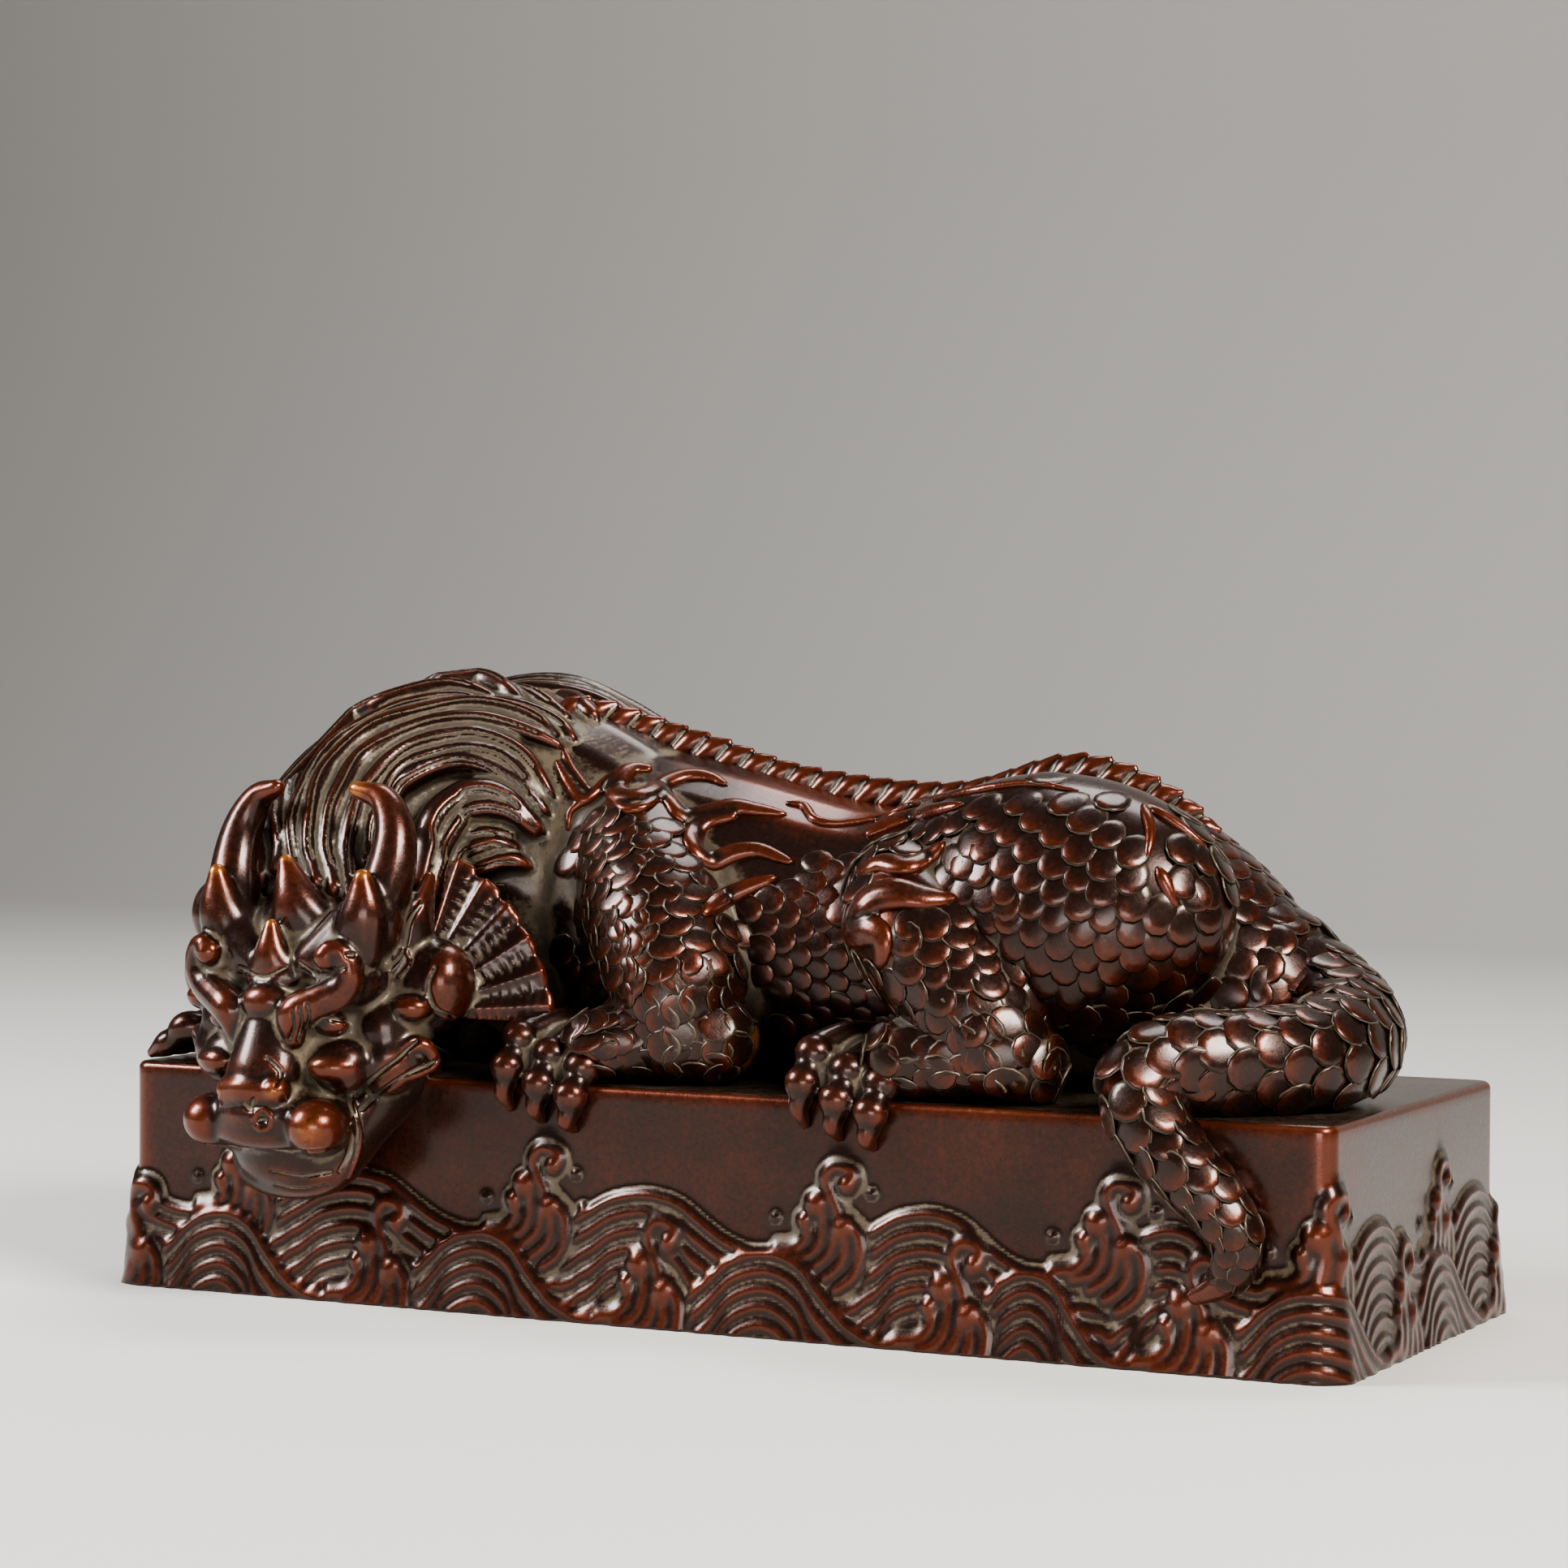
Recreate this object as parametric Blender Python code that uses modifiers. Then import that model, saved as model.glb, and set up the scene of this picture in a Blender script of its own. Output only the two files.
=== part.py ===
"""Crouching guardian beast on its plinth, cast in copper alloy as one solid.

Run with: blender --background --python part.py
Units are metres, +Z is up. The origin is the middle of the plinth's underside.
The long front face looks towards -Y, and the beast's head hangs over it near its -X end.
"""
import math

import bmesh
import bpy
import numpy as np
from mathutils import Vector

# Driving sizes of the plinth
PLINTH_LENGTH = 0.160
PLINTH_WIDTH = 0.061
PLINTH_HEIGHT = 0.0283
PLINTH_CORNER = 0.0022
PLINTH_FLARE = 0.0012

# Driving sizes of the wave relief round the plinth's foot
WAVE_COUNT_ROUND = 12
WAVE_DEPTH = 0.0011
BAND_PITCH = 0.0021

# Driving size of the beast: its reach along the plinth, from far paw to tail
BEAST_LENGTH = 0.156
SHARE = BEAST_LENGTH / 156.0

# How finely the casting's form is kept
FORM_VOXEL = 0.0005
BLEND_ROUNDS = 10
BEAST_TRIANGLES = 5450
PLINTH_TRIANGLES = 3350
RELIEF_STEP = 0.0008


def clear_scene():
    for old in list(bpy.data.objects):
        bpy.data.objects.remove(old, do_unlink=True)


def new_collection(name):
    group = bpy.data.collections.new(name)
    bpy.context.scene.collection.children.link(group)
    return group


def patinated_copper():
    """Dark red-brown patina, rubbed bright on the high places."""
    material = bpy.data.materials.new("patinated_copper")
    material.use_nodes = True
    shader = material.node_tree.nodes["Principled BSDF"]
    shader.inputs["Base Color"].default_value = (0.115, 0.052, 0.032, 1.0)
    shader.inputs["Metallic"].default_value = 0.85
    shader.inputs["Roughness"].default_value = 0.38
    return material


def spot(along, inward, up):
    """A place on the beast, in shares of its length, from the middle of the plinth's top front edge."""
    return Vector((along * SHARE, inward * SHARE - PLINTH_WIDTH / 2, up * SHARE + PLINTH_HEIGHT))


def smooth_path(values, steps):
    """Catmull-Rom interpolation through rows of numbers, with steps samples in each span."""
    rows = np.array(values, float)
    padded = np.vstack([2 * rows[0] - rows[1], rows, 2 * rows[-1] - rows[-2]])
    out = []
    for i in range(len(rows) - 1):
        a, b, c, d = padded[i:i + 4]
        for t in np.arange(steps) / steps:
            out.append(0.5 * (2 * b + (c - a) * t + (2 * a - 5 * b + 4 * c - d) * t ** 2
                              + (3 * b - a - 3 * c + d) * t ** 3))
    out.append(rows[-1])
    return np.array(out)


class Clay:
    """Closed lumps laid into one mesh, which the Remesh modifier then joins into one skin."""

    def __init__(self):
        self.mesh = bmesh.new()

    def sweep(self, stations, steps=4, sides=12, across=(0.0, 0.0, 1.0)):
        """A limb through stations of (along, inward, up, half width, half height), with rounded ends.

        The half height is measured towards `across`, the half width square to it.
        """
        rows = smooth_path(stations, steps)
        centres = [spot(*row[:3]) for row in rows]
        radii = [(max(row[3], 0.08) * SHARE, max(row[4], 0.08) * SHARE) for row in rows]
        rings = []
        for i, centre in enumerate(centres):
            ahead = centres[min(i + 1, len(centres) - 1)] - centres[max(i - 1, 0)]
            ahead.normalize()
            side = ahead.cross(Vector(across))
            if side.length < 1e-3:
                side = ahead.cross(Vector((0.0, 1.0, 0.0)))
            side.normalize()
            rise = side.cross(ahead).normalized()
            rings.append((centre, ahead, side, rise, radii[i]))
        first, last = rings[0], rings[-1]
        shaped = []
        for angle in (80, 50, 22):
            shaped.append(self._cap_ring(first, -1, math.radians(angle)))
        shaped += [(c, s, r, wh) for c, a, s, r, wh in rings]
        for angle in (22, 50, 80):
            shaped.append(self._cap_ring(last, 1, math.radians(angle)))
        loops = []
        for centre, side, rise, (wide, high) in shaped:
            loops.append([self.mesh.verts.new(centre + side * (wide * math.cos(a)) + rise * (high * math.sin(a)))
                          for a in (2 * math.pi * k / sides for k in range(sides))])
        for one, two in zip(loops, loops[1:]):
            for k in range(sides):
                m = (k + 1) % sides
                self.mesh.faces.new((one[k], one[m], two[m], two[k]))
        self.mesh.faces.new(loops[0][::-1])
        self.mesh.faces.new(loops[-1])

    @staticmethod
    def _cap_ring(ring, way, angle):
        centre, ahead, side, rise, (wide, high) = ring
        reach = min(wide, high)
        moved = centre + ahead * (way * reach * math.sin(angle))
        shrink = math.cos(angle)
        return moved, side, rise, (wide * shrink, high * shrink)

    def lump(self, place, radii, turn=0.0, tip=0.0):
        """An ellipsoid at a place, turned about the upright axis and tipped about its own length, in degrees."""
        sides = 32 if max(radii) > 8 else 16
        made = bmesh.ops.create_uvsphere(self.mesh, u_segments=sides, v_segments=sides // 2, radius=1.0)["verts"]
        spin, lean = math.radians(turn), math.radians(tip)
        centre = spot(*place)
        for v in made:
            x, y, z = (c * r * SHARE for c, r in zip(v.co, radii))
            y, z = y * math.cos(lean) - z * math.sin(lean), y * math.sin(lean) + z * math.cos(lean)
            x, y = x * math.cos(spin) - y * math.sin(spin), x * math.sin(spin) + y * math.cos(spin)
            v.co = centre + Vector((x, y, z))

    def finish(self, name):
        bmesh.ops.recalc_face_normals(self.mesh, faces=self.mesh.faces)
        data = bpy.data.meshes.new(name)
        self.mesh.to_mesh(data)
        self.mesh.free()
        return bpy.data.objects.new(name, data)


MIDLINE = 30.5
HEAD_MIDDLE = -50.0


def trunk(clay):
    """Chest, barrel, hips and rump, lying with the belly on the plinth."""
    clay.sweep([(-34, 30, 20, 15, 18), (-24, 30.5, 20, 18, 20.5), (-8, 30.5, 18, 18.5, 19.5),
                (10, 30.5, 16, 17, 17.5), (24, 30.5, 16.5, 17.5, 18), (38, 30.5, 17.5, 18, 19.5),
                (50, 30.5, 14, 15, 17), (59, 30.5, 10.5, 12, 13)], sides=20)


def neck_place(t, angle, lift):
    """A place on the neck's skin: t from 0 behind the head to 1 at the shoulder, angle up from the near side."""
    rows = smooth_path(NECK, 8)
    at = min(max(t, 0.0), 1.0) * (len(rows) - 1)
    low = min(int(at), len(rows) - 2)
    row = rows[low] + (rows[low + 1] - rows[low]) * (at - low)
    ahead = rows[low + 1][:3] - rows[low][:3]
    side = np.cross(ahead, (0, 0, 1))
    side /= np.linalg.norm(side)
    rise = np.cross(side, ahead)
    rise /= np.linalg.norm(rise)
    turn = math.radians(angle)
    return (row[:3] + side * math.cos(turn) * (row[3] + lift) + rise * math.sin(turn) * (row[4] + lift))


NECK = [(-50, 5, 15, 12, 12.5), (-52, 13, 20, 14.5, 17.5), (-47, 24, 23, 17.5, 23.5), (-34, 30, 22, 18, 23.5),
        (-22, 31, 19, 17, 20.5)]
# Rows of locks: first and last share of the neck, how many, lowest and highest angle, lift, thickness
LOCK_ROWS = ((0.02, 0.98, 15, -25, 200, 1.0, 2.2), (0.0, 0.66, 12, -20, 196, 2.2, 2.0), (0.04, 0.46, 5, -52, 24, 3.0, 1.9))


def neck(clay):
    clay.sweep(NECK, sides=20)


def mane(clay):
    """Thick locks that sweep from behind the horns over the neck and gather at the shoulder."""
    for first, last, count, low, high, lift, thick in LOCK_ROWS:
        for k in range(count):
            angle = low + (high - low) * k / (count - 1)
            bend = 16 * math.cos(math.radians(angle))
            path = []
            for j in range(5):
                f = j / 4
                t = first + (last - first) * f
                body = thick * (1 - f ** 2.5) + 0.4
                turn = angle + bend * math.sin(math.pi * f) - bend * 1.2 * f
                path.append((*neck_place(t, turn, lift - 0.8 * f), body, body * 0.9))
            clay.sweep(path, steps=3, sides=8)


def near_foreleg(clay):
    """Upper arm down from the shoulder, forearm along the plinth's edge, toes over the front."""
    clay.sweep([(-17, 19, 27, 8, 9), (-11, 13, 20, 9, 9), (-6, 9, 12, 8.5, 8), (-4, 8, 6, 7, 6)], sides=14)
    clay.sweep([(-1, 9, 5.5, 6, 5.5), (-7, 7, 5.5, 5.2, 5), (-14, 3.5, 5, 4.5, 4.2)])


def paw(clay, middle, edge, way):
    """Three knuckled toes that grip a long edge of the plinth, with claws pressed against its face.

    The edge is how far inward the face is, and the way is -1 where the toes reach out to the front, 1 to the back.
    """
    clay.lump((middle + 1.5, edge - 4 * way, 3), (5.8, 4.4, 3.2))
    for k in (-1, 0, 1):
        x = middle + 4.3 * k
        clay.sweep([(x + 3.5, edge - 6 * way, 4.2, 1.6, 1.6), (x + 1, edge - 2.2 * way, 3.8, 1.7, 1.7)], steps=2,
                   sides=8)
        clay.lump((x + 0.4, edge - 0.2 * way, 3.2), (2.3, 2.4, 2.2))
        clay.lump((x - 0.1, edge + 1.0 * way, -0.6), (2.1, 1.9, 2.1))
        clay.sweep([(x - 0.1, edge + 0.6 * way, -1.6, 1.7, 1.5), (x + 0.1, edge + 0.6 * way, -4, 1.2, 1.1),
                    (x + 0.6, edge + 0.2 * way, -6.6, 0.5, 0.5)], steps=3, sides=8, across=(1.0, 0.0, 0.0))


def paws(clay):
    """The toes of all four feet: three pairs over the plinth's edges, and the far forepaw on its top."""
    paw(clay, -19.5, 0, -1)
    paw(clay, 20.3, 0, -1)
    paw(clay, 20.3, PLINTH_WIDTH / SHARE, 1)
    for k in (-1, 0, 1):
        y = 6.5 + 3.7 * k
        clay.sweep([(-69, y + 2, 3.6, 1.7, 1.7), (-73.2, y, 4.4, 2.1, 2.1), (-75.2, y, 3.0, 1.6, 1.6),
                    (-76.8, y, 2.0, 1.7, 1.7), (-79, y, 0.8, 0.7, 0.7)], steps=3, sides=8)


def near_hind_leg(clay):
    clay.lump((39, 18, 22), (23, 13.5, 16), turn=-4, tip=-6)
    clay.sweep([(22, 13, 23, 7, 8), (26, 8.5, 19, 8, 8), (34, 6.5, 11, 7, 7), (39, 6, 5.5, 6, 5.5)], sides=14)
    clay.sweep([(41, 6.5, 4.6, 4.6, 4.8), (34, 5.5, 5.2, 5, 5), (26, 3.5, 5, 4.4, 4.4)])


def far_legs(clay):
    """The limbs on the far side: one arm reaches round the head to the corner, the leg grips the back edge."""
    back = PLINTH_WIDTH / SHARE
    clay.sweep([(-26, 44, 24, 9, 9), (-38, 49, 15, 8, 8), (-52, 48, 7, 7, 6.5)], sides=14)
    clay.sweep([(-56, 46, 6, 6, 5.5), (-66, 32, 5, 5, 5), (-70, 16, 4.5, 4.4, 4.2)])
    clay.lump((-70.5, 8, 3.2), (4.6, 5.5, 3.4))
    clay.lump((36, 43, 17), (21, 12.5, 15), turn=4, tip=6)
    clay.sweep([(20, 46, 19, 7, 7), (25, back - 9, 16, 7.5, 7.5), (33, back - 7.5, 10, 7, 7),
                (39, back - 7, 5.5, 6, 5.5)], sides=14)
    clay.sweep([(41, back - 7, 4.6, 4.6, 4.8), (34, back - 6, 5.2, 5, 5), (26, back - 4.5, 5, 4.4, 4.4)])


TAIL = [(56, 30.5, 12, 12, 12.5), (66, 30.5, 9.5, 9, 9.5), (72.5, 25, 7.5, 7, 7.5), (73, 15.5, 6.2, 6.2, 6.3),
        (67, 7.5, 5.8, 5.6, 5.8), (60.5, 2.2, 5.6, 5, 5.4), (57.2, -1.6, 2.4, 4.2, 4.6), (60.5, -2.8, -5, 4, 4),
        (65.5, -2.6, -10, 3.7, 3.6), (69.2, -2.2, -15, 3.2, 3), (67.5, -1.6, -20.5, 2.2, 2.2),
        (63, -1.0, -23, 1.0, 1.2)]


def tail(clay):
    clay.sweep(TAIL, steps=5, sides=12)


SPINE = [(-33, 31, 42), (-16, 31, 39), (1, 31, 35.6), (21, 31, 34), (37, 31, 37.8), (50, 31, 33.4), (58, 31, 25.5),
         (66, 30, 18), (72, 26, 13.8)]
RIDGE_TEETH = 34


def ridge(clay):
    """Overlapping dorsal fins that lean back along the spine."""
    line = smooth_path(SPINE, 12)
    spans = np.linalg.norm(np.diff(line, axis=0), axis=1)
    run = np.concatenate([[0], np.cumsum(spans)])
    for k in range(RIDGE_TEETH):
        here = run[-1] * (k + 0.5) / RIDGE_TEETH
        x, y, z = (np.interp(here, run, line[:, i]) for i in range(3))
        a, b, c = (np.interp(here + 3.6, run, line[:, i]) for i in range(3))
        clay.sweep([(x, y, z - 0.6, 1.5, 1.0), ((x + a) / 2, (y + b) / 2, (z + c) / 2 + 0.7, 1.5, 1.3),
                    (a, b, c + 1.5, 0.7, 0.6)], steps=2, sides=8)


def head_spot(side, ahead, up):
    """A place on the head: side from its middle plane, ahead towards -Y from the plinth's face, up from its top."""
    return (HEAD_MIDDLE + side, -ahead, up)


def skull(clay):
    """The masses under the face: skull, muzzle, jaw and cheeks, hung over the plinth's front edge."""
    clay.lump(head_spot(0, -1, 13), (12.5, 12, 12))
    clay.lump(head_spot(0, 5, 5), (11, 8.4, 9.5))
    clay.sweep([(*head_spot(0, 8.5, 13), 4.6, 4), (*head_spot(0, 11, 6), 4.2, 4), (*head_spot(0, 13, 0), 4.8, 4)],
               across=(0.0, 1.0, 0.0))
    clay.lump(head_spot(0, 9.5, -4.4), (9, 7.4, 5))
    clay.sweep([(*head_spot(10, -2, 1), 4.4, 5.4), (*head_spot(8, 2, -5), 4, 5), (*head_spot(4.6, 5.6, -9.8), 4.4, 4),
                (*head_spot(-4.6, 5.6, -9.8), 4.4, 4), (*head_spot(-8, 2, -5), 4, 5), (*head_spot(-10, -2, 1), 4.4, 5.4)])
    clay.lump(head_spot(0, 6, -8.6), (7, 5.4, 4.4))
    for s in (-1, 1):
        clay.lump(head_spot(s * 7.6, 11.6, -4.6), (4.6, 4.8, 4.2))
        clay.lump(head_spot(s * 12, 3, 6), (4.4, 5.5, 6))
        clay.lump(head_spot(s * 9.5, 8, 12), (4.4, 4.4, 3.6))


def face(clay):
    """What stands out from the skull along its middle plane, then each pair."""
    clay.lump(head_spot(0, 15.6, -0.8), (4.0, 2.6, 2.3))
    clay.lump(head_spot(0, 12.4, 10.2), (3.0, 2.0, 2.0))
    clay.sweep([(*head_spot(0, 10.6, 13.4), 4.0, 3.0), (*head_spot(0, 11.4, 15.6), 2.2, 2.0),
                (*head_spot(0, 11.8, 18.6), 0.8, 0.8)], across=(0.0, 1.0, 0.0))
    clay.sweep([(*head_spot(0.6, 6, 17.5), 6, 4), (*head_spot(0, 7.0, 21.5), 3.2, 3),
                (*head_spot(-1.4, 7.6, 26.8), 1.0, 0.9)], across=(0.0, 1.0, 0.0))
    for s in (-1, 1):
        head_side(clay, s)


def head_side(clay, s):
    """Everything on the head that comes in pairs."""
    def at(side, ahead, up):
        return head_spot(s * side, ahead, up)
    # Lip bulb, nostril wing, cheekbone and eyeball
    clay.lump(at(7.4, 13.4, -4.8), (4.1, 4.0, 3.7))
    clay.lump(at(4.0, 15.8, -1.8), (1.8, 1.8, 1.6))
    clay.lump(at(8.6, 10.6, 2.2), (3.2, 2.2, 1.9), turn=30 * s)
    clay.lump(at(7.2, 10.6, 6.8), (2.4, 1.8, 1.5))
    # Brow that ends in a curl
    clay.sweep([(*at(3.6, 13.4, 6.4), 1.1, 1.2), (*at(4.6, 13.4, 8.8), 1.7, 1.8), (*at(7.6, 12.4, 10.2), 1.5, 1.7),
                (*at(10.6, 10.6, 11.2), 1.5, 1.6), (*at(12.2, 9.4, 13.6), 1.4, 1.4), (*at(11.0, 9.8, 15.8), 1.2, 1.2)],
               steps=3, sides=8)
    # Temple knob, cheek ball, and the curled barbel behind the mouth
    clay.lump(at(14.0, 6.0, 9.6), (2.5, 2.0, 1.6))
    clay.lump(at(17.2, 1.0, 12.6), (2.6, 3.6, 4.0))
    clay.sweep([(*at(13.0, 5.6, 1.6), 1.0, 1.0), (*at(14.6, 5.2, 4.2), 1.5, 1.3), (*at(16.6, 3.0, 3.4), 1.0, 1.0)],
               steps=3)
    # Horn and the tine before it
    clay.sweep([(*at(4.6, 9.6, 14.6), 2.0, 2.0), (*at(8.6, 8.0, 18), 2.4, 2.6), (*at(11.8, 5.4, 23.6), 2.3, 2.6),
                (*at(11.8, 3.8, 29.6), 1.9, 2.1), (*at(9.4, 3.2, 33.8), 1.5, 1.6), (*at(6.2, 4.0, 35.0), 0.9, 0.9)],
               steps=4, sides=10, across=(0.0, 1.0, 0.0))
    clay.sweep([(*at(8.6, 8.0, 18.6), 2.5, 2.4), (*at(8.2, 8.8, 22.8), 1.9, 1.8), (*at(7.8, 9.2, 25.6), 1.0, 1.0)],
               steps=3, sides=8, across=(0.0, 1.0, 0.0))
    # Ear, and the ribbed fan behind the jaw
    clay.sweep([(*at(13, 4.4, 14.5), 1.2, 1.8), (*at(14.6, 2.2, 20), 1.3, 2.4), (*at(14.2, -0.6, 24.5), 0.7, 0.9)],
               steps=3, sides=8)
    for k in range(FAN_RIBS):
        f = k / (FAN_RIBS - 1)
        turn = math.radians(72 - 92 * f)
        reach = FAN_REACH * (1 - 0.18 * f)
        root = (16.0 + 2.4 * f, -2.5, 15.0 - 5.0 * f)
        tip = (root[0] + reach * math.cos(turn), root[1] - 5.0, root[2] + reach * math.sin(turn))
        middle = tuple((a + b) / 2 + c for a, b, c in zip(root, tip, (0, 0.6, 0)))
        clay.sweep([(*at(*root), 0.9, 1.0), (*at(*middle), 1.2, 1.3), (*at(*tip), 1.5, 1.3)], steps=2, sides=6,
                   across=(0.0, 1.0, 0.0))


FAN_REACH = 11.0
FAN_RIBS = 6


def one_skin(form, voxel, rounds):
    """Joins overlapping closed lumps into a single skin and softens the creases between them."""
    join = form.modifiers.new("one_skin", "REMESH")
    join.mode = "VOXEL"
    join.voxel_size = voxel
    soft = form.modifiers.new("softened", "SMOOTH")
    soft.factor = 0.5
    soft.iterations = rounds
    settle(form)


def settle(form):
    """Replaces an object's mesh with what its modifiers make of it."""
    bpy.context.view_layer.update()
    graph = bpy.context.evaluated_depsgraph_get()
    made = bpy.data.meshes.new_from_object(form.evaluated_get(graph))
    form.modifiers.clear()
    form.data = made


def keep_faces(form, target):
    """Collapses edges where the form is plainest, until the triangles left are near the target."""
    triangles = sum(len(p.vertices) - 2 for p in form.data.polygons)
    fewer = form.modifiers.new("fewer_faces", "DECIMATE")
    fewer.ratio = min(1.0, target / triangles)
    settle(form)


def keep_largest_shell(form):
    """Drops every loose shell but the one with most faces, so no closed pocket stays inside."""
    body = bmesh.new()
    body.from_mesh(form.data)
    shells = []
    seen = set()
    for start in body.verts:
        if start in seen:
            continue
        shell, front = [], [start]
        seen.add(start)
        while front:
            here = front.pop()
            shell.append(here)
            for edge in here.link_edges:
                other = edge.other_vert(here)
                if other not in seen:
                    seen.add(other)
                    front.append(other)
        shells.append(shell)
    shells.sort(key=len)
    for shell in shells[:-1]:
        bmesh.ops.delete(body, geom=shell, context="VERTS")
    body.to_mesh(form.data)
    body.free()


def beast_form():
    """Blends the large masses first, then lays hair, horns, toes and fins on them."""
    masses = Clay()
    for shape in (trunk, neck, near_foreleg, near_hind_leg, far_legs, tail, skull):
        shape(masses)
    form = masses.finish("beast_form")
    bpy.context.scene.collection.objects.link(form)
    one_skin(form, FORM_VOXEL, BLEND_ROUNDS)
    details = Clay()
    for shape in (mane, paws, ridge, face):
        shape(details)
    details.mesh.from_mesh(form.data)
    bpy.data.objects.remove(form, do_unlink=True)
    form = details.finish("beast_form")
    bpy.context.scene.collection.objects.link(form)
    one_skin(form, FORM_VOXEL, 2)
    keep_largest_shell(form)
    keep_faces(form, BEAST_TRIANGLES)
    return form


def perimeter_length():
    straight = 2 * (PLINTH_LENGTH + PLINTH_WIDTH - 4 * PLINTH_CORNER)
    return straight + 2 * math.pi * PLINTH_CORNER


def perimeter_places(run):
    """Where a run along the plinth's outline lies, and which way is out, starting at the front face's -X end."""
    r = PLINTH_CORNER
    long, short, bend = PLINTH_LENGTH - 2 * r, PLINTH_WIDTH - 2 * r, math.pi / 2 * r
    hx, hy = long / 2, short / 2
    x, y, way = np.zeros_like(run), np.zeros_like(run), np.zeros_like(run)
    start = 0.0
    corners = [(-hx, -hy, 1, 0, long, hx, -hy), (hx, -hy, 0, 1, short, hx, hy),
               (hx, hy, -1, 0, long, -hx, hy), (-hx, hy, 0, -1, short, -hx, -hy)]
    for side, (x0, y0, dx, dy, span, cx, cy) in enumerate(corners):
        out = math.radians(-90 + 90 * side)
        on = (run >= start) & (run <= start + span)
        x[on] = x0 + dx * (run[on] - start) + r * math.cos(out)
        y[on] = y0 + dy * (run[on] - start) + r * math.sin(out)
        way[on] = out
        start += span
        on = (run > start) & (run <= start + bend + 1e-9)
        way[on] = out + (run[on] - start) / r
        x[on] = cx + r * np.cos(way[on])
        y[on] = cy + r * np.sin(way[on])
        start += bend
    return x, y, way


# One wave of the relief: share of its pitch, and share of its height above the valley
WAVE_OUTLINE = ((0.0, 0.30), (0.05, 0.46), (0.12, 0.74), (0.22, 0.95), (0.32, 1.0), (0.45, 0.88), (0.58, 0.52),
                (0.70, 0.16), (0.79, 0.0), (0.87, 0.06), (0.94, 0.28), (1.0, 0.30))
# The crest's fingers, in metres from the valley behind it: a path that ends in the centre of a round knob
CREST_FINGERS = (
    ((0.0000, 0.0000), (0.0028, 0.0006), (0.0050, 0.0028), (0.0048, 0.0052)),
    ((0.0012, -0.0008), (0.0052, 0.0010), (0.0074, 0.0042), (0.0078, 0.0080), (0.0094, 0.0096), (0.0103, 0.0080)),
    ((0.0030, -0.0020), (0.0070, -0.0006), (0.0090, 0.0022), (0.0096, 0.0050)),
    ((0.0054, -0.0030), (0.0090, -0.0022), (0.0112, 0.0010), (0.0108, 0.0046)),
)
FINGER_WIDTH = 0.0008
KNOB_WIDTH = 0.0013
SPRAY = ((0.0132, 0.0094), (0.0128, 0.0062), (-0.0040, 0.0048))
SPRAY_WIDTH = 0.0005
WAVE_ROWS = ((0.0104, 0.0158, 0.47, 0.0), (0.0014, 0.0100, 0.0, 0.35))
FIRST_CREST = 0.0395


def bump(away, width):
    """A half-round swelling: 1 on its middle line, 0 beyond its width."""
    return np.sqrt(np.clip(1 - (away / width) ** 2, 0, 1))


def distance_to_path(x, y, path):
    best = np.full(x.shape, 1.0)
    for (x0, y0), (x1, y1) in zip(path, path[1:]):
        dx, dy = x1 - x0, y1 - y0
        t = np.clip(((x - x0) * dx + (y - y0) * dy) / (dx * dx + dy * dy), 0, 1)
        best = np.minimum(best, np.hypot(x - x0 - t * dx, y - y0 - t * dy))
    return best


def wave_relief(run, up):
    """How far the waves stand out from the wall, as a share of WAVE_DEPTH, at a run along it and a height up it."""
    pitch = perimeter_length() / WAVE_COUNT_ROUND
    raised = np.zeros_like(run)
    outline = smooth_path(WAVE_OUTLINE, 6)
    for valley, peak, offset, level in WAVE_ROWS:
        share = ((run - FIRST_CREST) / pitch - offset) % 1.0
        top = valley + (peak - valley) * np.interp(share, outline[:, 0], outline[:, 1])
        slope = np.interp(share, outline[:-1, 0], np.diff(outline[:, 1]) / np.diff(outline[:, 0]))
        slope = slope * (peak - valley) / pitch
        below = (top - up) / np.sqrt(1 + slope ** 2)
        phase = (below / BAND_PITCH) % 1.0
        band = bump(phase - BAND_SHARE / 2, BAND_SHARE / 2)
        inside = below > 0
        raised = np.where(inside, level + 0.15 + 0.5 * band, raised)
        foot = 0.79 * pitch
        across = share * pitch - foot
        across = np.where(across < -0.4 * pitch, across + pitch, across)
        high = up - valley
        for path in CREST_FINGERS:
            line = smooth_path(path, 5)
            stem = bump(distance_to_path(across, high, line), FINGER_WIDTH)
            knob = bump(np.hypot(across - path[-1][0], high - path[-1][1]), KNOB_WIDTH)
            raised = np.maximum(raised, np.where(stem > 0, level + 0.2 + 0.45 * stem, 0))
            raised = np.maximum(raised, np.where(knob > 0, level + 0.2 + 0.6 * knob, 0))
        if level == 0.0:
            for x, y in SPRAY:
                raised = np.maximum(raised, 0.5 * bump(np.hypot(across - x, high - y), SPRAY_WIDTH))
    return raised


BAND_SHARE = 0.62


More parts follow.
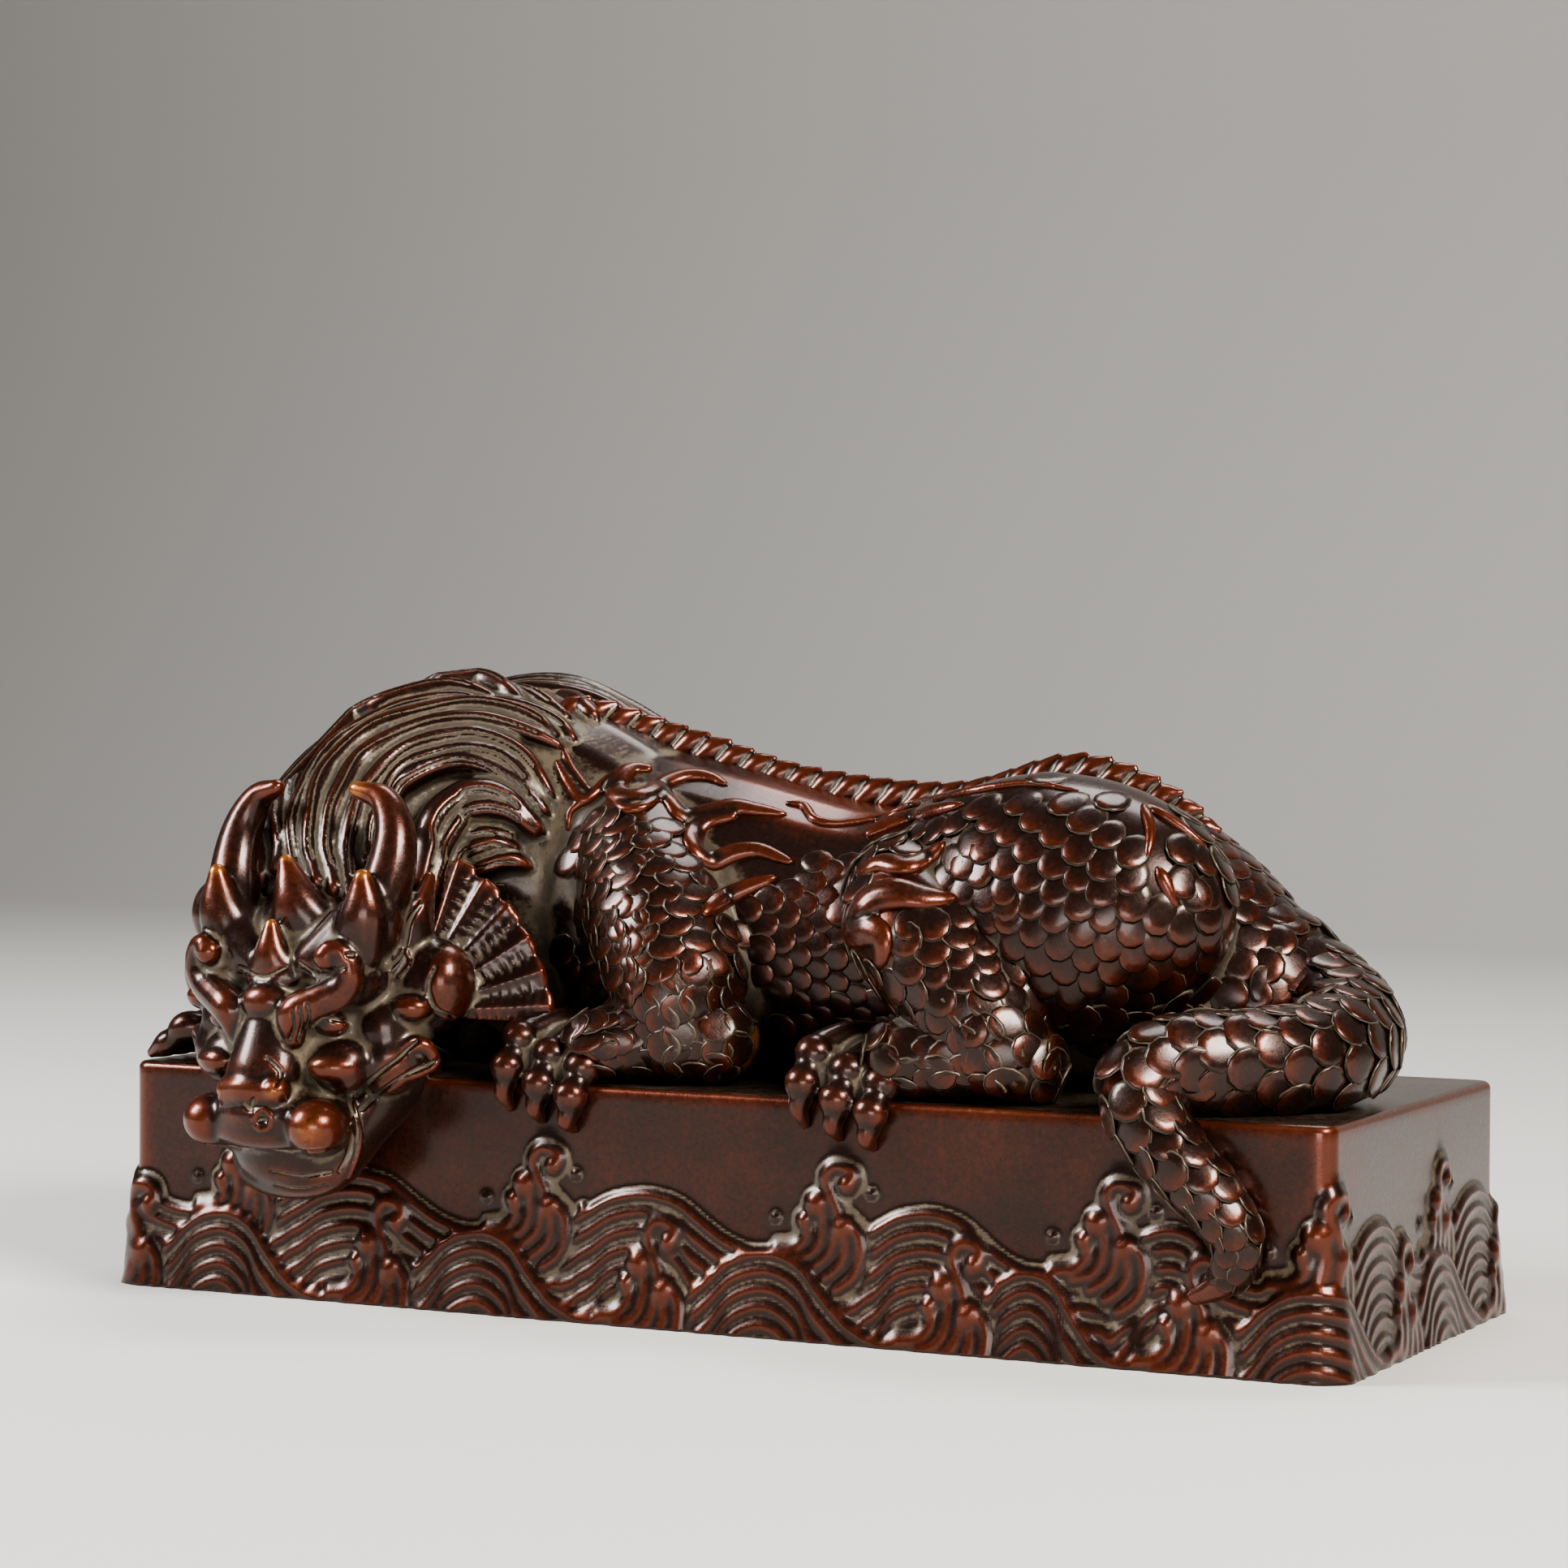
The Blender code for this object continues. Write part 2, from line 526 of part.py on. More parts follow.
def plinth_form():
    """The block: a grid wrapped round its outline, raised by the waves, and closed above and below."""
    around = perimeter_length()
    columns = int(round(around / RELIEF_STEP))
    rows = int(round(PLINTH_HEIGHT / RELIEF_STEP))
    wall = bmesh.new()
    bmesh.ops.create_grid(wall, x_segments=columns, y_segments=rows, size=0.5)
    wall.verts.ensure_lookup_table()
    flat = np.array([v.co[:2] for v in wall.verts]) + 0.5
    run = flat[:, 0] * around
    up = flat[:, 1] * (PLINTH_HEIGHT + FOOT_SPARE) - FOOT_SPARE
    x, y, way = perimeter_places(np.clip(run, 0, around))
    flare = PLINTH_FLARE * np.clip((0.6 * PLINTH_HEIGHT - up) / (0.6 * PLINTH_HEIGHT), 0, 1) ** 0.7
    rounded = -EDGE_ROUND * (1 - np.sqrt(np.clip(1 - ((up - PLINTH_HEIGHT + EDGE_ROUND) / EDGE_ROUND).clip(0) ** 2,
                                                 0, 1)))
    out = flare + rounded + WAVE_DEPTH * wave_relief(run, up)
    for v, px, py, w, o, z in zip(wall.verts, x, y, way, out, up):
        v.co = (px + o * math.cos(w), py + o * math.sin(w), z)
    bmesh.ops.remove_doubles(wall, verts=wall.verts, dist=1e-6)
    rims = [e for e in wall.edges if e.is_boundary]
    bmesh.ops.holes_fill(wall, edges=rims, sides=0)
    bmesh.ops.triangulate(wall, faces=[f for f in wall.faces if len(f.verts) > 4])
    bmesh.ops.recalc_face_normals(wall, faces=wall.faces)
    data = bpy.data.meshes.new("plinth_form")
    wall.to_mesh(data)
    wall.free()
    form = bpy.data.objects.new("plinth_form", data)
    bpy.context.scene.collection.objects.link(form)
    keep_faces(form, PLINTH_TRIANGLES)
    level_foot(form)
    return form


def level_foot(form):
    """Saws the spare foot off at height zero, so that the underside is one flat face."""
    body = bmesh.new()
    body.from_mesh(form.data)
    whole = body.verts[:] + body.edges[:] + body.faces[:]
    bmesh.ops.bisect_plane(body, geom=whole, dist=1e-7, plane_co=(0, 0, 0), plane_no=(0, 0, 1), clear_inner=True)
    rim = [e for e in body.edges if e.is_boundary]
    bmesh.ops.holes_fill(body, edges=rim, sides=0)
    for v in body.verts:
        if v.co.z < 1e-6:
            v.co.z = 0.0
    bmesh.ops.triangulate(body, faces=[f for f in body.faces if len(f.verts) > 4])
    bmesh.ops.recalc_face_normals(body, faces=body.faces)
    body.to_mesh(form.data)
    body.free()


EDGE_ROUND = 0.0009
FOOT_SPARE = 0.0006


def join_forms(beast, plinth, group):
    """One casting: the beast united with the block, cut from the same metal."""
    unite = plinth.modifiers.new("one_casting", "BOOLEAN")
    unite.operation = "UNION"
    unite.solver = "EXACT"
    unite.object = beast
    settle(plinth)
    keep_largest_shell(plinth)
    bpy.data.objects.remove(beast, do_unlink=True)
    plinth.name = "guardian_beast_and_plinth"
    plinth.data.name = "guardian_beast_and_plinth"
    bpy.context.scene.collection.objects.unlink(plinth)
    group.objects.link(plinth)
    plinth.data.materials.clear()
    plinth.data.materials.append(patinated_copper())
    for face in plinth.data.polygons:
        face.material_index = 0
    return plinth


clear_scene()
group = new_collection("guardian_beast_statue")
beast = beast_form()
plinth = plinth_form()
statue = join_forms(beast, plinth, group)
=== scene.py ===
# %% [markdown]
# # A crouching guardian beast in patinated copper
# The beast and its long plinth are one casting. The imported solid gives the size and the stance, and this
# lesson builds the same form again with finer skin: scales, grooved hair, horns, claws and the waves round
# the plinth's foot. Everything is in metres, +Z is up, and the origin is the middle of the plinth's
# underside.

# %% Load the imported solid
import math

import bmesh
import bpy
import numpy as np
from mathutils import Matrix, Vector
from mathutils.bvhtree import BVHTree


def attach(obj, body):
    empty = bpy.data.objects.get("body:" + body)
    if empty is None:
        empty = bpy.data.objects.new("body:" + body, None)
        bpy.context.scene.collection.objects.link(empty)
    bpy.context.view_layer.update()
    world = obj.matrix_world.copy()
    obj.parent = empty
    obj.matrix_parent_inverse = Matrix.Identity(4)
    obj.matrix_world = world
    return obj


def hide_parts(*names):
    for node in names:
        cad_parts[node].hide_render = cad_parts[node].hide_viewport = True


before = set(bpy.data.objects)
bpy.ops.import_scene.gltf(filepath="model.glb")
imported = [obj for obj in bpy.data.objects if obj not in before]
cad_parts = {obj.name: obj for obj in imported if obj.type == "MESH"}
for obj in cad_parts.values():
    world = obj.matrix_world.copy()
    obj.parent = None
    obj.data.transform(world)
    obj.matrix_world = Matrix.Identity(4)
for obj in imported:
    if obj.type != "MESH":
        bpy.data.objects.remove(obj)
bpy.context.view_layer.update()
SOLID = "guardian_beast_and_plinth"

# %% [markdown]
# ## Sizes
# The plinth is easy to measure against the photograph, so its length, width and height drive the rest. The
# beast is measured in millimetres of its own 156 mm length, and one share turns those into metres. A place on
# it is given along the plinth, inward from its front face, and up from its top.

# %% Driving sizes
PLINTH_LENGTH = 0.160
PLINTH_WIDTH = 0.061
PLINTH_HEIGHT = 0.0283
PLINTH_CORNER = 0.0022
PLINTH_FLARE = 0.0012
EDGE_ROUND = 0.0009
WAVE_COUNT_ROUND = 12
WAVE_DEPTH = 0.0011
BAND_PITCH = 0.0021
BEAST_LENGTH = 0.156
SHARE = BEAST_LENGTH / 156.0
rng = np.random.default_rng(7)
print("plinth", [round(1000 * s, 1) for s in (PLINTH_LENGTH, PLINTH_WIDTH, PLINTH_HEIGHT)], "mm")


def spot(along, inward, up):
    """A place on the beast, in shares of its length, from the middle of the plinth's top front edge."""
    return Vector((along * SHARE, inward * SHARE - PLINTH_WIDTH / 2, up * SHARE + PLINTH_HEIGHT))


def put_in_scene(name, data):
    """An object at the origin that carries a mesh, a lamp or a lens."""
    made = bpy.data.objects.new(name, data)
    bpy.context.scene.collection.objects.link(made)
    return made


# %% [markdown]
# ## Clay
# A sculptor builds such a beast from fat rolls and balls of clay and then smooths the joins. The same is done
# here: each limb is a swept roll with round ends, each muscle or knob is an ellipsoid. The Remesh modifier
# welds them into one skin, and the Smooth modifier softens the creases. A small voxel keeps small forms, so
# the head, the hair and the toes each get a finer one than the trunk.

# %% Rolls and lumps of clay
def smooth_path(values, steps):
    """Catmull-Rom interpolation through rows of numbers, with steps samples in each span."""
    rows = np.array(values, float)
    padded = np.vstack([2 * rows[0] - rows[1], rows, 2 * rows[-1] - rows[-2]])
    out = []
    for i in range(len(rows) - 1):
        a, b, c, d = padded[i:i + 4]
        for t in np.arange(steps) / steps:
            out.append(0.5 * (2 * b + (c - a) * t + (2 * a - 5 * b + 4 * c - d) * t ** 2
                              + (3 * b - a - 3 * c + d) * t ** 3))
    out.append(rows[-1])
    return np.array(out)


class Clay:
    """Closed lumps laid into one mesh, which the Remesh modifier then joins into one skin."""

    def __init__(self):
        self.mesh = bmesh.new()

    def sweep(self, stations, steps=8, sides=24, across=(0.0, 0.0, 1.0)):
        """A limb through stations of (along, inward, up, half width, half height), with rounded ends.

        The half height is measured towards `across`, the half width square to it.
        """
        rows = smooth_path(stations, steps)
        centres = [spot(*row[:3]) for row in rows]
        radii = [(max(row[3], 0.08) * SHARE, max(row[4], 0.08) * SHARE) for row in rows]
        self.roll(centres, radii, [Vector(across)] * len(centres), sides)

    def roll(self, centres, radii, up_ways, sides):
        """A closed roll through world places, each with (half width, half height) and the way that is up."""
        rings = []
        for i, centre in enumerate(centres):
            ahead = centres[min(i + 1, len(centres) - 1)] - centres[max(i - 1, 0)]
            ahead.normalize()
            side = ahead.cross(up_ways[i])
            if side.length < 1e-3:
                side = ahead.cross(Vector((0.0, 1.0, 0.0)))
            side.normalize()
            rise = side.cross(ahead).normalized()
            rings.append((centre, ahead, side, rise, radii[i]))
        first, last = rings[0], rings[-1]
        shaped = []
        for angle in (80, 50, 22):
            shaped.append(self._cap_ring(first, -1, math.radians(angle)))
        shaped += [(c, s, r, wh) for c, a, s, r, wh in rings]
        for angle in (22, 50, 80):
            shaped.append(self._cap_ring(last, 1, math.radians(angle)))
        loops = []
        for centre, side, rise, (wide, high) in shaped:
            angles = [2 * math.pi * k / sides for k in range(sides)]
            ring = [centre + side * (wide * math.cos(a)) + rise * (high * math.sin(a)) for a in angles]
            loops.append([self.mesh.verts.new(place) for place in ring])
        for one, two in zip(loops, loops[1:]):
            for k in range(sides):
                m = (k + 1) % sides
                self.mesh.faces.new((one[k], one[m], two[m], two[k]))
        self.mesh.faces.new(loops[0][::-1])
        self.mesh.faces.new(loops[-1])

    @staticmethod
    def _cap_ring(ring, way, angle):
        """A smaller ring beyond the end of a roll, on its round cap."""
        centre, ahead, side, rise, (wide, high) = ring
        reach = min(wide, high)
        moved = centre + ahead * (way * reach * math.sin(angle))
        shrink = math.cos(angle)
        return moved, side, rise, (wide * shrink, high * shrink)

    def lump(self, place, radii, turn=0.0, tip=0.0):
        """An ellipsoid at a place, turned about the upright and tipped about its own length, in degrees."""
        sides = 48 if max(radii) > 8 else 24
        made = bmesh.ops.create_uvsphere(self.mesh, u_segments=sides, v_segments=sides // 2,
                                         radius=1.0)["verts"]
        spin, lean = math.radians(turn), math.radians(tip)
        centre = spot(*place)
        for v in made:
            x, y, z = (c * r * SHARE for c, r in zip(v.co, radii))
            y, z = y * math.cos(lean) - z * math.sin(lean), y * math.sin(lean) + z * math.cos(lean)
            x, y = x * math.cos(spin) - y * math.sin(spin), x * math.sin(spin) + y * math.cos(spin)
            v.co = centre + Vector((x, y, z))

    def finish(self, name):
        bmesh.ops.recalc_face_normals(self.mesh, faces=self.mesh.faces)
        data = bpy.data.meshes.new(name)
        self.mesh.to_mesh(data)
        self.mesh.free()
        return put_in_scene(name, data)


# %% One skin from many lumps
def one_skin(form, voxel, rounds):
    """Joins overlapping closed lumps into a single skin and softens the creases between them."""
    join = form.modifiers.new("one_skin", "REMESH")
    join.mode = "VOXEL"
    join.voxel_size = voxel
    soft = form.modifiers.new("softened", "SMOOTH")
    soft.factor = 0.5
    soft.iterations = rounds
    settle(form)


def settle(form):
    """Replaces an object's mesh with what its modifiers make of it."""
    bpy.context.view_layer.update()
    graph = bpy.context.evaluated_depsgraph_get()
    made = bpy.data.meshes.new_from_object(form.evaluated_get(graph))
    form.modifiers.clear()
    form.data = made


def keep_largest_shell(form):
    """Drops every loose shell but the one with most faces, so no closed pocket stays inside."""
    body = bmesh.new()
    body.from_mesh(form.data)
    shells = []
    seen = set()
    for start in body.verts:
        if start in seen:
            continue
        shell, front = [], [start]
        seen.add(start)
        while front:
            here = front.pop()
            shell.append(here)
            for edge in here.link_edges:
                other = edge.other_vert(here)
                if other not in seen:
                    seen.add(other)
                    front.append(other)
        shells.append(shell)
    shells.sort(key=len)
    for shell in shells[:-1]:
        bmesh.ops.delete(body, geom=shell, context="VERTS")
    body.to_mesh(form.data)
    body.free()


# %% [markdown]
# ## The large masses
# The beast lies with its belly on the block. Its near foreleg and both hind legs grip the long edges, the far
# foreleg reaches round behind the head, and the tail curls back over the front. The numbers are read off the
# photograph in millimetres: along the plinth, inward from its front face, and up from its top.

# %% Trunk, limbs and tail
def trunk(clay):
    """Chest, barrel, hips and rump, lying with the belly on the plinth."""
    clay.sweep([(-34, 30, 20, 15, 18), (-24, 30.5, 20, 18, 20.5), (-8, 30.5, 18, 18.5, 19.5),
                (10, 30.5, 16, 17, 17.5), (24, 30.5, 16.5, 17.5, 18), (38, 30.5, 17.5, 18, 19.5),
                (50, 30.5, 14, 15, 17), (59, 30.5, 10.5, 12, 13)], sides=20)


def near_foreleg(clay):
    """Upper arm down from the shoulder, forearm along the plinth's edge, toes over the front."""
    clay.sweep([(-17, 19, 27, 8, 9), (-11, 13, 20, 9, 9), (-6, 9, 12, 8.5, 8), (-4, 8, 6, 7, 6)], sides=14)
    clay.sweep([(-1, 9, 5.5, 6, 5.5), (-7, 7, 5.5, 5.2, 5), (-14, 3.5, 5, 4.5, 4.2)])


# %% Paws
def paw(clay, middle, edge, way):
    """Three knuckled toes that grip a long edge of the plinth, with claws pressed against its face.

    The edge is how far inward the face is. The way is -1 where the toes reach to the front, 1 to the back.
    """
    clay.lump((middle + 1.8, edge - 5.2 * way, 3.2), (6.4, 4.4, 3.6))
    clay.lump((middle, edge - 1.9 * way, 2.2), (6.4, 2.4, 3.0))
    for k, rise in ((-1, 1.8), (0, 0.0), (1, -1.3)):
        x = middle + 4.4 * k
        clay.sweep([(x + 5.4, edge - 9.5 * way, 6.2 + 0.4 * rise, 1.5, 1.5),
                    (x + 2.6, edge - 5.6 * way, 5.4 + 0.8 * rise, 1.9, 1.9),
                    (x + 0.8, edge - 2.2 * way, 4.0 + rise, 2.1, 2.1)])
        clay.lump((x + 0.4, edge - 0.9 * way, 3.4 + rise), (2.45, 2.4, 2.3))
        clay.sweep([(x + 0.2, edge - 0.2 * way, 2.2 + rise, 1.8, 1.7),
                    (x, edge + 1.0 * way, 0.6 + rise, 1.8, 1.7)])
        clay.lump((x - 0.1, edge + 1.4 * way, 0.1 + rise), (2.2, 1.9, 2.1))
        clay.sweep([(x - 0.1, edge + 1.0 * way, -1.0 + rise, 1.7, 1.4),
                    (x - 0.5, edge + 1.4 * way, -2.8 + rise, 1.4, 1.2),
                    (x - 0.2, edge + 0.4 * way, -4.4 + 0.7 * rise, 0.6, 0.6)], across=(1.0, 0.0, 0.0))


def paws(clay):
    """The toes of all four feet: three pairs over the plinth's edges, and the far forepaw on its top."""
    paw(clay, -19.5, 0, -1)
    paw(clay, 20.3, 0, -1)
    paw(clay, 20.3, PLINTH_WIDTH / SHARE, 1)
    for k in (-1, 0, 1):
        y = 6.5 + 3.7 * k
        clay.sweep([(-69, y + 2, 3.6, 1.7, 1.7), (-73.2, y, 4.4, 2.1, 2.1), (-75.2, y, 3.0, 1.6, 1.6),
                    (-76.8, y, 2.0, 1.7, 1.7), (-79, y, 0.8, 0.7, 0.7)], steps=6, sides=14)


# %% Hind legs, far arm and tail
def near_hind_leg(clay):
    """Thigh, shank and the foot along the front edge."""
    clay.lump((39, 18, 22), (23, 13.5, 16), turn=-4, tip=-6)
    clay.sweep([(22, 13, 23, 7, 8), (26, 8.5, 19, 8, 8), (34, 6.5, 11, 7, 7), (39, 6, 5.5, 6, 5.5)], sides=14)
    clay.sweep([(41, 6.5, 4.6, 4.6, 4.8), (34, 5.5, 5.2, 5, 5), (26, 3.5, 5, 4.4, 4.4)])


def far_legs(clay):
    """The far side: one arm reaches round the head to the corner, the leg grips the back edge."""
    back = PLINTH_WIDTH / SHARE
    clay.sweep([(-26, 44, 24, 9, 9), (-38, 49, 15, 8, 8), (-52, 48, 7, 7, 6.5)], sides=14)
    clay.sweep([(-56, 46, 6, 6, 5.5), (-66, 32, 5, 5, 5), (-70, 16, 4.5, 4.4, 4.2)])
    clay.lump((-70.5, 8, 3.2), (4.6, 5.5, 3.4))
    clay.lump((36, 43, 17), (21, 12.5, 15), turn=4, tip=6)
    clay.sweep([(20, 46, 19, 7, 7), (25, back - 9, 16, 7.5, 7.5), (33, back - 7.5, 10, 7, 7),
                (39, back - 7, 5.5, 6, 5.5)], sides=14)
    clay.sweep([(41, back - 7, 4.6, 4.6, 4.8), (34, back - 6, 5.2, 5, 5), (26, back - 4.5, 5, 4.4, 4.4)])


TAIL = [(56, 30.5, 12, 12, 12.5), (66, 30.5, 9.5, 9, 9.5), (72.5, 25, 7.5, 7, 7.5), (73, 15.5, 6.2, 6.2, 6.3),
        (67, 7.5, 5.8, 5.6, 5.8), (60.5, 2.2, 5.6, 5, 5.4), (57.6, -1.4, 2.8, 4.2, 4.6),
        (62.2, -2.7, -3.6, 3.8, 3.8),
        (66.8, -2.5, -8.2, 3.5, 3.4), (69.8, -2.1, -12.8, 2.9, 2.8), (68.4, -1.6, -17.4, 2.1, 2.0),
        (64.2, -1.0, -19.8, 1.0, 1.1)]


def tail(clay):
    clay.sweep(TAIL, steps=6, sides=14)


# %% [markdown]
# ## Neck and head
# The neck comes forward and down, and the head rests its chin over the plinth's front edge, turned a little.
# It is built as a carver would: first the masses of skull, muzzle and jaw, then what stands out along the
# middle, then each feature that comes in pairs. Its places are given from its own middle plane, so both
# halves share their numbers.

# %% Neck
def neck_place(t, angle, lift):
    """A place on the neck's skin: t is 0 at the head and 1 at the shoulder, angle up from the near side."""
    rows = smooth_path(NECK, 8)
    at = min(max(t, 0.0), 1.0) * (len(rows) - 1)
    low = min(int(at), len(rows) - 2)
    row = rows[low] + (rows[low + 1] - rows[low]) * (at - low)
    ahead = rows[low + 1][:3] - rows[low][:3]
    side = np.cross(ahead, (0, 0, 1))
    side /= np.linalg.norm(side)
    rise = np.cross(side, ahead)
    rise /= np.linalg.norm(rise)
    turn = math.radians(angle)
    return (row[:3] + side * math.cos(turn) * (row[3] + lift) + rise * math.sin(turn) * (row[4] + lift))


NECK = [(-50, 5, 15, 12, 12.5), (-52, 13, 20, 14.5, 17.5), (-47, 24, 23, 17.5, 24.2), (-34, 30, 22, 18, 23.8),
        (-22, 31, 19, 17, 21.3)]


def neck(clay):
    clay.sweep(NECK, sides=20)


# %% Skull
HEAD_MIDDLE = -50.0
HEAD_TURN = math.radians(5)


def head_spot(side, ahead, up):
    """A place on the head: side from its middle plane, ahead of the plinth's face, up from its top."""
    return (HEAD_MIDDLE + side * math.cos(HEAD_TURN) - ahead * math.sin(HEAD_TURN),
            -ahead * math.cos(HEAD_TURN) - side * math.sin(HEAD_TURN), up)


def skull(clay):
    """The masses under the face: skull, nose bridge, muzzle, jaw and cheeks, hung over the front edge."""
    clay.lump(head_spot(0, -1, 13), (12.6, 12, 12))
    clay.lump(head_spot(0, 5, 5), (11, 8.4, 9.5))
    clay.sweep([(*head_spot(0, 8.5, 13), 4.6, 4), (*head_spot(0, 11, 6), 4.4, 4),
                (*head_spot(0, 13, 0.6), 5.2, 4)],
               across=(0.0, 1.0, 0.0))
    clay.lump(head_spot(0, 9.5, -4.2), (9, 7.6, 5))
    clay.sweep([(*head_spot(10, -2, 1.6), 4.2, 5.2), (*head_spot(7.6, 3.4, -4.6), 3.7, 4.4),
                (*head_spot(4.6, 7.4, -11.0), 3.5, 3.4), (*head_spot(-4.6, 7.4, -11.0), 3.5, 3.4),
                (*head_spot(-7.6, 3.4, -4.6), 3.7, 4.4), (*head_spot(-10, -2, 1.6), 4.2, 5.2)])
    clay.lump(head_spot(0, 7.6, -9.2), (7.8, 5.8, 5.0))
    clay.lump(head_spot(0, 10.6, -5.6), (8.4, 5.0, 3.2))
    clay.lump(head_spot(0, 13.2, -5.9), (7.6, 3.4, 2.7))
    for s in (-1, 1):
        clay.lump(head_spot(s * 6.2, 10.4, -5.4), (4.4, 4.6, 3.8))
        clay.lump(head_spot(s * 8.0, 13.2, -5.2), (3.7, 3.7, 3.4))
        clay.lump(head_spot(s * 12, 3, 6), (4.6, 5.5, 6))
        clay.lump(head_spot(s * 15.6, 0.2, 11.4), (5.0, 5.0, 6.0))
        clay.lump(head_spot(s * 9.0, 7.8, 12.4), (4.8, 4.8, 3.8))
        clay.lump(head_spot(s * 8.4, 8.9, 2.0), (4.2, 3.6, 3.6))
        clay.lump(head_spot(s * 12.6, 4.6, 2.6), (4.4, 4.0, 4.6))
        clay.sweep([(*head_spot(s * 4.6, 9.0, 14.2), 3.0, 3.0), (*head_spot(s * 9.4, 7.8, 19), 3.4, 3.2)])


# %% Face and horns
def face(clay):
    """What stands out from the skull along its middle plane, then each pair."""
    clay.sweep([(*head_spot(-3.2, 14.6, -1.3), 2.5, 2.3), (*head_spot(-0.4, 15.3, -0.9), 2.3, 2.2),
                (*head_spot(2.8, 14.9, -1.2), 1.9, 1.8)])
    clay.lump(head_spot(3.5, 15.3, -0.9), (1.8, 1.8, 1.7))
    clay.lump(head_spot(1.2, 15.2, -4.0), (2.1, 1.7, 1.6))
    clay.sweep([(*head_spot(0, 15.0, 0.6), 3.0, 1.8), (*head_spot(0, 13.2, 4.4), 2.5, 1.6)],
               across=(0.0, 1.0, 0.0))
    clay.lump(head_spot(0, 12.8, 9.4), (3.5, 2.3, 2.5))
    clay.sweep([(*head_spot(0, 10.6, 12.6), 4.4, 3.0), (*head_spot(0, 11.6, 15.6), 2.4, 2.1),
                (*head_spot(0, 11.8, 18.8), 0.9, 0.9)], across=(0.0, 1.0, 0.0))
    clay.sweep([(*head_spot(1.4, 6, 17.0), 6.4, 4), (*head_spot(0.6, 7.6, 21.5), 3.4, 3),
                (*head_spot(-0.8, 8.0, 26.3), 1.1, 1.0)], across=(0.0, 1.0, 0.0))
    for s in (-1, 1):
        head_side(clay, s)


def head_side(clay, s):
    """Everything on the head that comes in pairs."""
    def at(side, ahead, up, lean=0.0):
        return head_spot(s * side + lean, ahead, up)
    # Cheekbone and eyeball
    clay.lump(at(9.0, 10.7, 1.8), (3.5, 2.4, 2.0), turn=24 * s)
    clay.lump(at(7.8, 10.4, 7.0), (2.6, 1.9, 1.5))
    # Brow that ends in a curl
    clay.sweep([(*at(4.2, 12.8, 5.4), 1.5, 1.6), (*at(4.9, 13.2, 8.2), 2.3, 2.4),
                (*at(7.8, 12.4, 9.8), 2.1, 2.3),
                (*at(10.4, 11.4, 11.2), 2.0, 2.2), (*at(11.8, 11.4, 13.6), 1.7, 1.8),
                (*at(11.0, 12.2, 15.8), 1.3, 1.4),
                (*at(9.6, 12.8, 16.2), 1.2, 1.2)], steps=6, sides=14)
    clay.lump(at(9.1, 12.7, 15.2), (1.7, 1.5, 1.7))
    # Temple knob, cheek ball, and the curled barbel behind the mouth
    clay.lump(at(15.8, 4.8, 9.0), (2.8, 2.3, 1.8))
    clay.lump(at(18.4, 0.8, 11.8), (3.2, 4.0, 4.8))
    clay.sweep([(*at(14.0, 6.0, 1.6), 0.9, 0.9), (*at(15.2, 5.8, 4.0), 1.2, 1.1),
                (*at(17.4, 4.2, 4.4), 1.2, 1.1),
                (*at(18.4, 3.2, 2.6), 0.8, 0.8)], steps=6)
    clay.sweep([(*at(14.2, 5.6, 0.6), 0.7, 0.7), (*at(16.2, 4.8, 0.8), 0.8, 0.7),
                (*at(18.0, 3.4, 1.8), 0.7, 0.7)])
    clay.lump(at(16.0, 4.8, 2.6), (1.2, 1.1, 1.0))
    # Horn and the tine before it
    clay.sweep([(*at(4.6, 9.6, 14.2, 0.9), 2.6, 2.4), (*at(9.0, 8.2, 17.6, 0.9), 3.6, 3.4),
                (*at(11.6, 5.8, 23.0, 0.9), 3.4, 3.3), (*at(11.9, 4.0, 29.4, 0.9), 2.7, 2.7),
                (*at(9.8, 3.4, 33.8, 0.9), 1.9, 2.0), (*at(6.2, 4.2, 35.2, 0.9), 1.1, 1.2)],
               steps=6, sides=14, across=(0.0, 1.0, 0.0))
    clay.sweep([(*at(9.6, 8.8, 16.4, 1.2), 3.8, 3.2), (*at(10.9, 9.4, 20.6, 1.3), 3.1, 2.8),
                (*at(11.2, 10.0, 24.8, 1.3), 1.2, 1.2)],
               steps=6, sides=14, across=(0.0, 1.0, 0.0))
    clay.lump(at(12.4, 7.0, 19.4), (3.4, 2.8, 4.4))
    # Ear
    clay.sweep([(*at(13, 4.4, 13.5), 1.4, 2.0), (*at(14.8, 2.2, 19), 1.4, 2.8),
                (*at(14.6, -0.6, 24.5), 0.8, 1.0)], steps=6, sides=14)
    fan(clay, s)


# %% Fans behind the cheeks
FAN_BLADES = 6
FAN_REACH = 11.0
FAN_RUNGS = range(2, 9)


